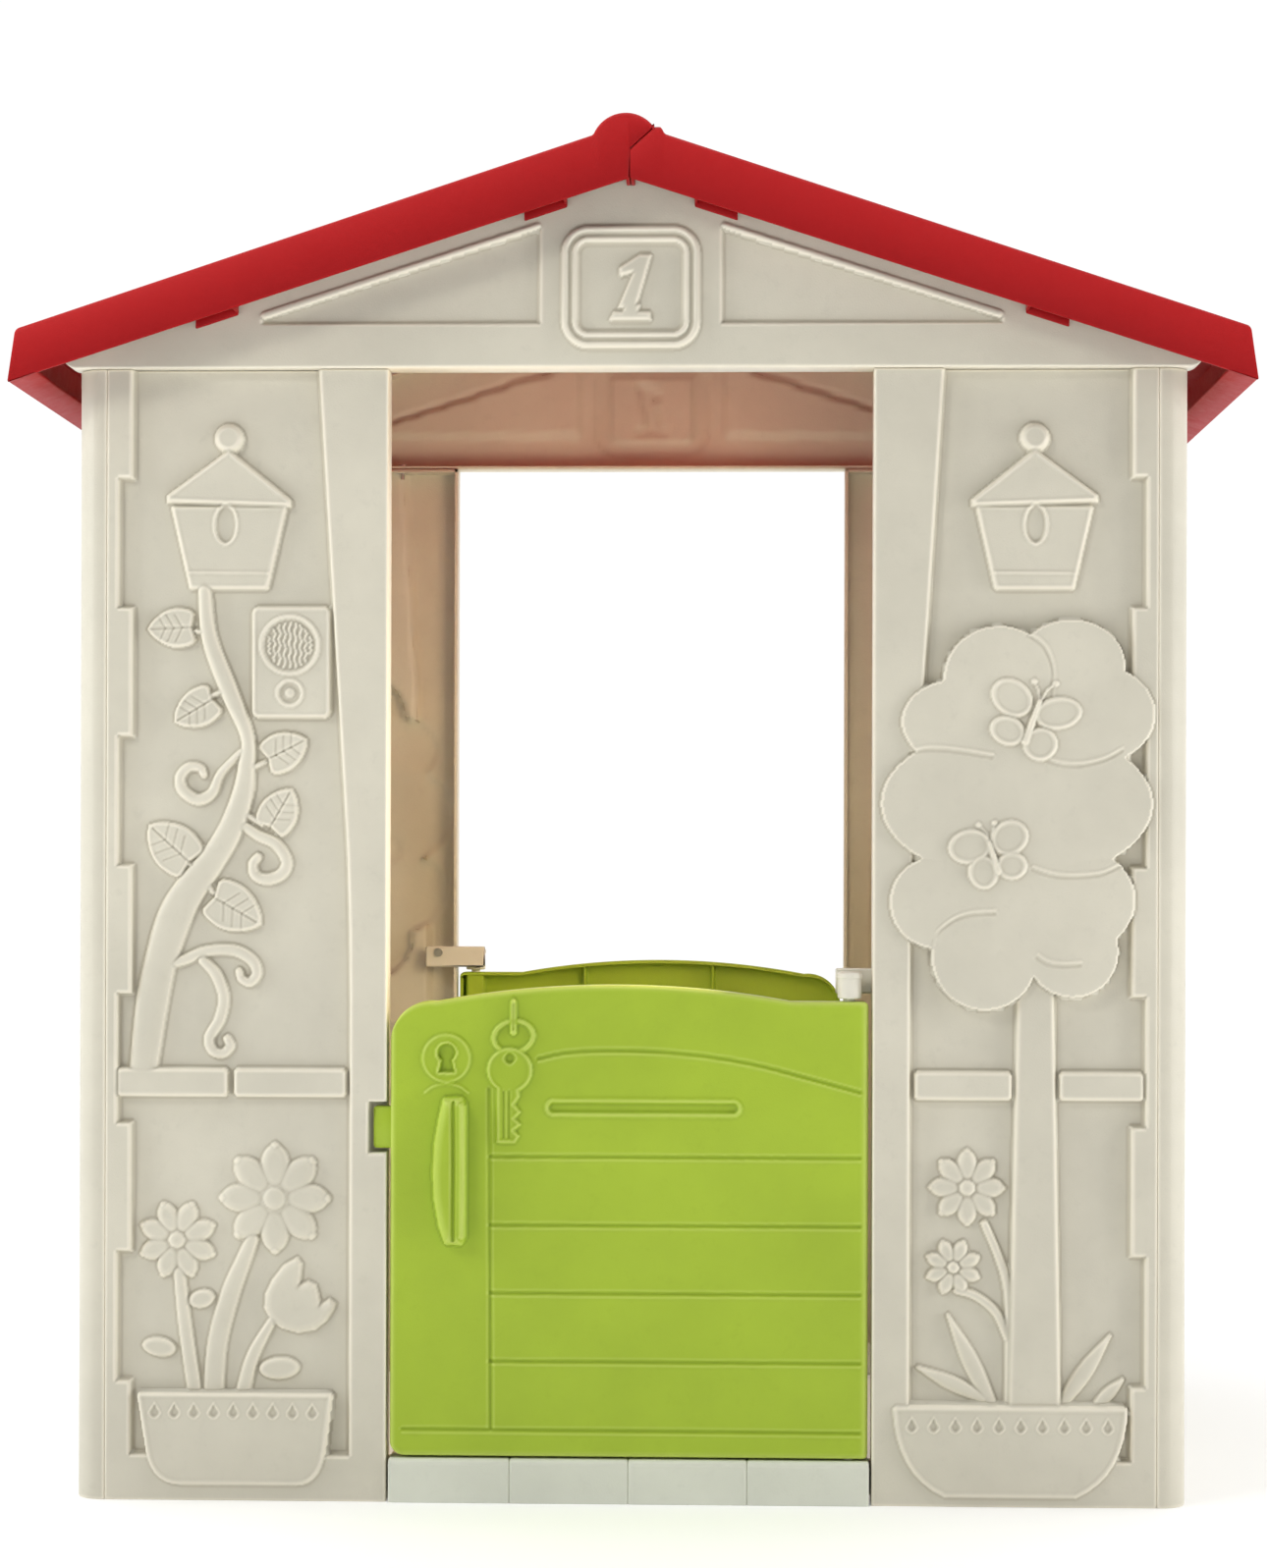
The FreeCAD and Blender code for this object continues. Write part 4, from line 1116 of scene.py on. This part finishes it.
def solid_mesh(name, parts):
    """One mesh from (points, faces) pairs, its doubled points merged and its large faces flat."""
    bm = bmesh.new()
    for points, faces in parts:
        add_part(bm, points, faces)
    bmesh.ops.remove_doubles(bm, verts=bm.verts, dist=0.02 * MM)
    bmesh.ops.dissolve_degenerate(bm, edges=bm.edges, dist=0.01 * MM)
    bmesh.ops.recalc_face_normals(bm, faces=bm.faces)
    for f in bm.faces:
        f.smooth = min(e.calc_length() for e in f.edges) < 3 * MM
    return write_solid(bm, bpy.data.meshes.new(name))


def roof_lugs(side):
    """Small lugs under the roof's front and back edges, over the gables."""
    parts = []
    for x in (79.0, 385.0):
        low = FASCIA_PEAK_Z - FASCIA_SLOPE * x
        for way in (-1, 1):
            y = sorted((way * 401.5, way * 405.5))
            u = sorted((side * (x - 20), side * (x + 20)))
            points, faces = rounded_box((u[0], y[0], low - 0.5), (u[1], y[1], low + 14), 1.4)
            points[:, 2] -= FASCIA_SLOPE * (np.abs(points[:, 0]) - x)
            parts.append((points, faces))
            y = sorted((way * 404.0, way * 437.5))
            for edge in (x - 18.5, x + 18.5):
                u = sorted((side * (edge - 1.5), side * (edge + 1.5)))
                parts.append(rounded_box((u[0], y[0], low + 8), (u[1], y[1], low + 30), 1.2))
    u = sorted((side * 0.3, side * 4.0))
    for y in ((40 - WALL_Y, WALL_Y - 40), (1.5 - ROOF_Y, -WALL_Y - 8), (WALL_Y + 8, ROOF_Y - 1.5)):
        parts.append(rounded_box((u[0], y[0], FASCIA_PEAK_Z), (u[1], y[1], 1249.0), 1.0))
    return parts


def join_meshes(base, parts):
    """Adds the (points, faces) parts to a mesh, keeping its attributes."""
    bm = bmesh.new()
    bm.from_mesh(base)
    for points, faces in parts:
        bmesh.ops.remove_doubles(bm, verts=add_part(bm, points, faces), dist=0.02 * MM)
    bm.to_mesh(base)
    bm.free()
    return base


# ---------------------------------------------------------------- thresholds and hardware
THRESHOLD_X = 223.5
THRESHOLD_TOP = 41.2
ARM_Y = -WALL_Y + EDGE      # face the screwed arms and lugs lie on, behind the panels


def threshold_parts():
    """Four rounded stones side by side, as a loft of rounded sections, and two lugs."""
    y0, y1, z0, z1 = -WALL_Y - 3.0, -WALL_Y + 70.0, 0.0, THRESHOLD_TOP
    stations = []
    cuts = [-THRESHOLD_X, -110.5, 0.0, 110.5, THRESHOLD_X]
    ends = [(0.0, 1.7), (0.3, 1.0), (0.9, 0.5), (1.8, 0.15), (3.2, 0.0)]
    for a, b in zip(cuts, cuts[1:]):
        stations += [(a + d, inset) for d, inset in ends] + [((a + b) / 2, 0.0)]
        stations += [(b - d, inset) for d, inset in reversed(ends)]
    section = []
    for cy, cz, start in ((y1, z1, 0), (y0, z1, 90), (y0, z0, 180), (y1, z0, 270)):
        r = 6.0 if cz == z1 else 1.0
        for k in range(6):
            a = math.radians(start + 18 * k)
            py = cy - math.copysign(r, cy - (y0 + y1) / 2) + r * math.cos(a)
            pz = cz - math.copysign(r, cz - (z0 + z1) / 2) + r * math.sin(a)
            section.append((py, pz))
    section = np.array(section)
    mid = np.array([(y0 + y1) / 2, 0.0])
    rings = []
    for x, inset in stations:
        scale = np.array([1 - inset / ((y1 - y0) / 2), 1 - inset / (z1 - z0)])
        rings.append(np.column_stack([np.full(len(section), x), mid + (section - mid) * scale]))
    n, last = len(section), len(rings) - 1
    faces = []
    for i in range(last):
        for k in range(n):
            faces.append((i * n + k, i * n + (k + 1) % n, (i + 1) * n + (k + 1) % n, (i + 1) * n + k))
    faces.append(tuple(range(n))[::-1])
    faces.append(tuple(range(last * n, last * n + n)))
    lugs = [rounded_box((x, ARM_Y, 4), (x + 50.5, ARM_Y + 5, 38), 1.5) for x in (-262, 211.5)]
    return [(np.vstack(rings), faces)] + lugs


def bar(a, b, r, n=48):
    """Points and faces of a round bar from a to b, in mm."""
    a, b = Vector(a), Vector(b)
    side = (b - a).orthogonal().normalized()
    over = (b - a).normalized().cross(side)
    ring = [side * math.cos(t) * r + over * math.sin(t) * r for t in np.arange(n) * 2 * math.pi / n]
    faces = [(i, (i + 1) % n, n + (i + 1) % n, n + i) for i in range(n)]
    faces += [tuple(range(n))[::-1], tuple(range(n, 2 * n))]
    return [a + p for p in ring] + [b + p for p in ring], faces


def turned_part(x, y, profile, n=48):
    """Points and faces of a profile of (radius, z) turned about an upright axis; radius 0 ends it."""
    points, rows, faces = [], [], []
    turns = [2 * math.pi * i / n for i in range(n)]
    for r, z in profile:
        k = 1 if r == 0 else n
        rows.append(range(len(points), len(points) + k))
        points += [(x + r * math.cos(t), y + r * math.sin(t), z) for t in turns[:k]]
    for a, b in zip(rows, rows[1:]):
        for i in range(n):
            j = (i + 1) % n
            if len(a) == 1:
                faces.append((a[0], b[i], b[j]))
            elif len(b) == 1:
                faces.append((a[i], b[0], a[j]))
            else:
                faces.append((a[i], b[i], b[j], a[j]))
    return points, faces


def bored(mesh, bars):
    """The mesh with round bars taken out of it."""
    block = bpy.data.objects.new("block", mesh)
    drill = bpy.data.objects.new("drill", solid_mesh("drill", bars))
    for o in (block, drill):
        bpy.context.scene.collection.objects.link(o)
    bore = block.modifiers.new("bore", "BOOLEAN")
    bore.operation, bore.object, bore.solver = "DIFFERENCE", drill, "EXACT"
    out = bpy.data.meshes.new_from_object(block.evaluated_get(bpy.context.evaluated_depsgraph_get()))
    for o in (block, drill):
        bpy.data.objects.remove(o)
    bm = bmesh.new()
    bm.from_mesh(out)
    return write_solid(bm, out)


def knuckle_parts(pin_high):
    """Round knuckle over the door's upper pin, with a web to the arm screwed behind the panel."""
    x, y = HINGE_AT
    bore = [(0, pin_high), (BORE_R, pin_high), (BORE_R, 470.4)]
    cap = [(11.2, 489.4), (12.0, 489.8), (12.0, 493.2), (11.0, 494.6), (9.0, 495.4), (0, 495.8)]
    drum = turned_part(x, y, bore + [(10.2, 470.4), (11.2, 471.4)] + cap)
    web = rounded_box((x - 8.5, y + 7, 473), (x + 8.5, y + 21, 493), 2.0)
    arm = rounded_box((x - 12.5, ARM_Y, 474), (262, ARM_Y + 5, 498), 1.8)
    return [drum, web, arm]


# ---------------------------------------------------------------- materials
def srgb(*rgb):
    """Linear colour from 0 to 255 screen values."""
    return tuple(((c / 255 + 0.055) / 1.055) ** 2.4 if c > 10 else c / 255 / 12.92 for c in rgb) + (1.0,)


def graph(tree):
    """Two helpers for a node tree: one adds a node with settings and inputs, the other links two nodes."""
    def node(kind, **values):
        one = tree.nodes.new(kind)
        for key, value in values.items():
            if key[0].isupper():
                one.inputs[key.replace("_", " ")].default_value = value
            else:
                setattr(one, key, value)
        return one

    def join(a, b, out, into):
        tree.links.new(a.outputs[out], b.inputs[into])
    return node, join


def plastic(name, base, painted_highlight, crease, rough, grain, sheen=0.0, subsurface=0.0, radius=(1.0, 0.5, 0.3),
            metal=0.0, specular=0.4, dapple=0.06):
    """Moulded plastic: fine grain, soft dapples of colour, a painted highlight on crests and painted shade
    in creases.
    """
    mat = bpy.data.materials.new(name)
    mat.use_nodes = True
    links = mat.node_tree.links
    shader = mat.node_tree.nodes["Principled BSDF"]
    node, join = graph(mat.node_tree)

    def ramp(source, out, low, high, to_low, to_high):
        one = node("ShaderNodeMapRange", From_Min=low, From_Max=high, To_Min=to_low, To_Max=to_high)
        join(source, one, out, "Value")
        return one

    where = node("ShaderNodeTexCoord")
    painted_light = node("ShaderNodeAttribute", attribute_name="painted_light")
    cloud = node("ShaderNodeTexNoise", Scale=5.5, Detail=4.0, Roughness=0.62)
    mottle = node("ShaderNodeTexNoise", Scale=62.0, Detail=5.0, Roughness=0.7)
    fine = node("ShaderNodeTexNoise", Scale=grain, Detail=3.0, Roughness=0.6)
    pits = node("ShaderNodeTexVoronoi", Scale=grain * 0.45)
    for one in (cloud, mottle, fine, pits):
        join(where, one, "Object", "Vector")

    def blend(kind, factor, factor_out, a, b):
        one = node("ShaderNodeMix", data_type="RGBA", blend_type=kind)
        if isinstance(factor, float):
            one.inputs[0].default_value = factor
        else:
            join(factor, one, factor_out, 0)
        for value, socket in ((a, one.inputs[6]), (b, one.inputs[7])):
            if isinstance(value, tuple):
                socket.default_value = value
            else:
                links.new(value, socket)
        return one.outputs[2]

    shade = tuple(c * (1 - dapple) for c in base[:3]) + (1.0,)
    lit = tuple(min(1.0, c * (1 + dapple)) for c in base[:3]) + (1.0,)
    colour = blend("MIX", ramp(cloud, "Fac", 0.34, 0.66, 0.0, 1.0), "Result", shade, lit)
    speck = tuple(c * 0.9 for c in base[:3]) + (1.0,)
    colour = blend("MIX", ramp(mottle, "Fac", 0.56, 0.78, 0.0, 0.55), "Result", colour, speck)
    # Painted highlight: crests, where the curvature attribute is above 0, mix towards the lighter colour.
    colour = blend("MIX", ramp(painted_light, "Fac", 0.05, 1.0, 0.0, 0.65), "Result", colour, painted_highlight)
    # Painted shade: creases, where the curvature attribute is below 0, mix towards the darker colour.
    colour = blend("MIX", ramp(painted_light, "Fac", -0.05, -1.0, 0.0, 0.4), "Result", colour, crease)
    links.new(colour, shader.inputs["Base Color"])
    gloss = ramp(mottle, "Fac", 0.3, 0.75, rough - 0.06, rough + 0.08)
    join(gloss, shader, "Result", "Roughness")
    settings = [("Specular IOR Level", specular), ("Metallic", metal),
                ("Sheen Weight", sheen), ("Sheen Roughness", 0.4)]
    if subsurface:
        settings += [("Subsurface Weight", subsurface), ("Subsurface Scale", 0.012),
                     ("Subsurface Radius", radius)]
    for key, value in settings:
        shader.inputs[key].default_value = value
    bumps = node("ShaderNodeMath", operation="ADD")
    join(fine, bumps, "Fac", 0)
    join(ramp(pits, "Distance", 0.0, 0.45, -0.5, 0.0), bumps, "Result", 1)
    wave = node("ShaderNodeTexNoise", Scale=9.0, Detail=1.0)
    join(where, wave, "Object", "Vector")
    first = node("ShaderNodeBump", Strength=0.35, Distance=0.006)
    join(wave, first, "Fac", "Height")
    second = node("ShaderNodeBump", Strength=0.22, Distance=0.0006)
    join(bumps, second, "Value", "Height")
    join(first, second, "Normal", "Normal")
    join(second, shader, "Normal", "Normal")
    return mat


# Each plastic's colours: base, then the painted highlight for crests, then the painted shade for creases.
CREAM = plastic("cream_plastic", srgb(212, 207, 191), srgb(247, 240, 223), srgb(166, 155, 132),
                0.42, 900.0, sheen=0.05)
RED = plastic("red_plastic", srgb(156, 12, 17), srgb(198, 44, 46), srgb(110, 8, 12),
              0.5, 1100.0, subsurface=0.1, radius=(1.0, 0.12, 0.1), specular=0.14)
GREEN = plastic("green_plastic", srgb(166, 191, 54), srgb(203, 219, 112), srgb(118, 144, 26),
                0.42, 1100.0, specular=0.3)
GREY = plastic("pale_grey_plastic", srgb(219, 221, 208), srgb(240, 240, 232), srgb(150, 150, 138),
               0.5, 900.0)
WHITE = plastic("white_plastic", srgb(226, 222, 208), srgb(245, 243, 236), srgb(170, 165, 150),
                0.42, 1200.0, dapple=0.03)
STEEL = plastic("zinc_steel", srgb(196, 197, 200), srgb(228, 228, 230), srgb(120, 120, 122),
                0.32, 1500.0, metal=1.0)


# ---------------------------------------------------------------- the house
vine = wall_panel("vine_panel", -1, vine_decoration)
tree = wall_panel("tree_panel", 1, tree_decoration)
gable = gable_mesh()
door = door_mesh()
side = side_mesh()
tab = rounded_box((-238.5, -WALL_Y + 3.0, 329.5), (-214.0, -WALL_Y + 15.6, 368.5), 3.0)
door = join_meshes(door, [tab])
for end, turned in (("front", False), ("back", True)):
    add(end + "_vine_wall", vine, "house", [end + "_vine_panel"], CREAM, turned)
    add(end + "_tree_wall", tree, "house", [end + "_tree_panel"], CREAM, turned)
    add(end + "_gable_wall", gable, "house", [end + "_gable"], CREAM, turned)
    add(end + "_half_door", door, end + "_door", [end + "_door"], GREEN, turned)
add("right_window_wall", side, "house", ["right_side_wall"], CREAM)
add("left_window_wall", side, "house", ["left_side_wall"], CREAM, True)
for label, way in (("left", -1), ("right", 1)):
    roof = join_meshes(roof_mesh(label + "_roof", way), roof_lugs(way))
    add(label + "_roof_shell", roof, "house", [label + "_roof_panel"], RED)
sill = threshold_parts()
drill = bar((*HINGE_AT, LOWER_PIN[0][2] - 0.1), (*HINGE_AT, 60), BORE_R)
sill = join_meshes(bored(solid_mesh("threshold", sill[:1]), [drill]), sill[1:])
knuckle = solid_mesh("knuckle", knuckle_parts(UPPER_PIN[1][2] + 0.6))
for end, turned in (("front", False), ("back", True)):
    add(end + "_stone_sill", sill, "house", [end + "_threshold"], GREY, turned)
    add(end + "_hinge_knuckle", knuckle, "house", [end + "_hinge_bracket"], WHITE, turned)

for o in list(bpy.data.objects):
    is_pin, is_screw = "hinge_pin" in o.name, "screws" in o.name
    if o.type != "MESH" or not (is_pin or is_screw):
        continue
    o.data.materials.clear()
    o.data.materials.append(WHITE if is_pin else STEEL)
    if is_screw:
        soft = o.modifiers.new("soft_edges", "BEVEL")
        soft.width = 0.25 * MM
        soft.segments = 3
        soft.limit_method = "ANGLE"
        soft.angle_limit = math.radians(38)
        soft.harden_normals = True


# ---------------------------------------------------------------- floor, light and camera
def studio_floor():
    """Pale floor that glows more with distance, so that no horizon shows."""
    mesh = bpy.data.meshes.new("studio_floor")
    s = 9.0
    mesh.from_pydata([(-s, -s, 0), (s, -s, 0), (s, s, 0), (-s, s, 0)], [], [(0, 1, 2, 3)])
    floor = bpy.data.objects.new("studio_floor", mesh)
    bpy.context.scene.collection.objects.link(floor)
    mat = bpy.data.materials.new("pale_floor")
    mat.use_nodes = True
    shader = mat.node_tree.nodes["Principled BSDF"]
    shader.inputs["Base Color"].default_value = (0.9, 0.9, 0.9, 1)
    shader.inputs["Roughness"].default_value = 0.75
    shader.inputs["Emission Color"].default_value = (1, 1, 1, 1)
    node, join = graph(mat.node_tree)
    where = node("ShaderNodeTexCoord")
    reach = node("ShaderNodeVectorMath", operation="LENGTH")
    fade = node("ShaderNodeMapRange", interpolation_type="SMOOTHSTEP",
                From_Min=0.6, From_Max=1.5, To_Min=0.17, To_Max=0.43)
    join(where, reach, "Object", 0)
    join(reach, fade, "Value", "Value")
    join(fade, shader, "Result", "Emission Strength")
    mesh.materials.append(mat)


def softbox(name, at, to, wide, tall, watts, tint=(1, 1, 1)):
    """Area lamp at one place, aimed at another."""
    light = bpy.data.lights.new(name, "AREA")
    light.shape, light.size, light.size_y = "RECTANGLE", wide, tall
    light.energy, light.color = watts, tint
    lamp = bpy.data.objects.new(name, light)
    lamp.location = at
    lamp.rotation_euler = (Vector(to) - Vector(at)).to_track_quat("-Z", "Y").to_euler()
    lamp.visible_camera = False
    bpy.context.scene.collection.objects.link(lamp)


studio_floor()
softbox("left_softbox", (-2.7, -1.1, 1.5), (0, -0.3, 0.6), 0.8, 1.8, 24, (0.95, 0.99, 1.0))
softbox("right_softbox", (2.8, -1.1, 0.8), (0, -0.4, 0.5), 0.8, 1.6, 27, (1.0, 0.995, 0.965))
softbox("front_key", (-1.9, -2.5, 2.6), (0, -0.3, 0.6), 0.7, 0.6, 24, (1.0, 0.98, 0.91))
softbox("overhead", (0.0, -0.9, 3.6), (0, -0.4, 0.0), 2.2, 1.4, 27)
softbox("roof_glow", (0.0, 0.05, 1.12), (0.0, 0.4, 0.85), 0.24, 0.2, 0.22, (1.0, 0.2, 0.1))
softbox("cabin_fill", (0.15, -0.25, 0.66), (-0.5, 0.1, 0.6), 0.3, 0.3, 2.5, (1.0, 0.74, 0.42))


def studio_world(bright, dim):
    """White all round, dimmer in front of the house so that the lamps shape it."""
    world = bpy.data.worlds.new("studio")
    world.use_nodes = True
    back = world.node_tree.nodes["Background"]
    back.inputs["Color"].default_value = (1, 1, 1, 1)
    node, join = graph(world.node_tree)
    where = node("ShaderNodeTexCoord")
    split = node("ShaderNodeSeparateXYZ")
    fade = node("ShaderNodeMapRange", interpolation_type="SMOOTHSTEP",
                From_Min=-0.5, From_Max=0.1, To_Min=dim, To_Max=bright)
    seen = node("ShaderNodeLightPath")
    pick = node("ShaderNodeMix", B=bright)
    join(where, split, "Generated", 0)
    join(split, fade, "Y", "Value")
    join(seen, pick, "Is Camera Ray", "Factor")
    join(fade, pick, "Result", "A")
    join(pick, back, "Result", "Strength")
    bpy.context.scene.world = world


studio_world(1.03, 0.13)
bpy.context.scene.view_settings.view_transform = "Standard"

CAMERA_AT = (0.0944, -3.3578, 0.5968)   # metres
CAMERA_YAW = 0.0306                     # radians, like the roll
CAMERA_ROLL = 0.0027
look = Vector((-math.sin(CAMERA_YAW), math.cos(CAMERA_YAW), 0))
across = Vector((math.cos(CAMERA_YAW), math.sin(CAMERA_YAW), 0))
above = across.cross(look)
right = across * math.cos(CAMERA_ROLL) + above * math.sin(CAMERA_ROLL)
up = above * math.cos(CAMERA_ROLL) - across * math.sin(CAMERA_ROLL)
lens = bpy.data.cameras.new("front_view")
lens.lens, lens.sensor_width, lens.sensor_fit = 73.2, 36.0, "AUTO"
lens.shift_x, lens.shift_y = 0.0, 0.0499
camera = bpy.data.objects.new("front_view", lens)
camera.matrix_world = Matrix.Translation(CAMERA_AT) @ Matrix((right, up, -look)).transposed().to_4x4()
bpy.context.scene.collection.objects.link(camera)
bpy.context.scene.camera = camera
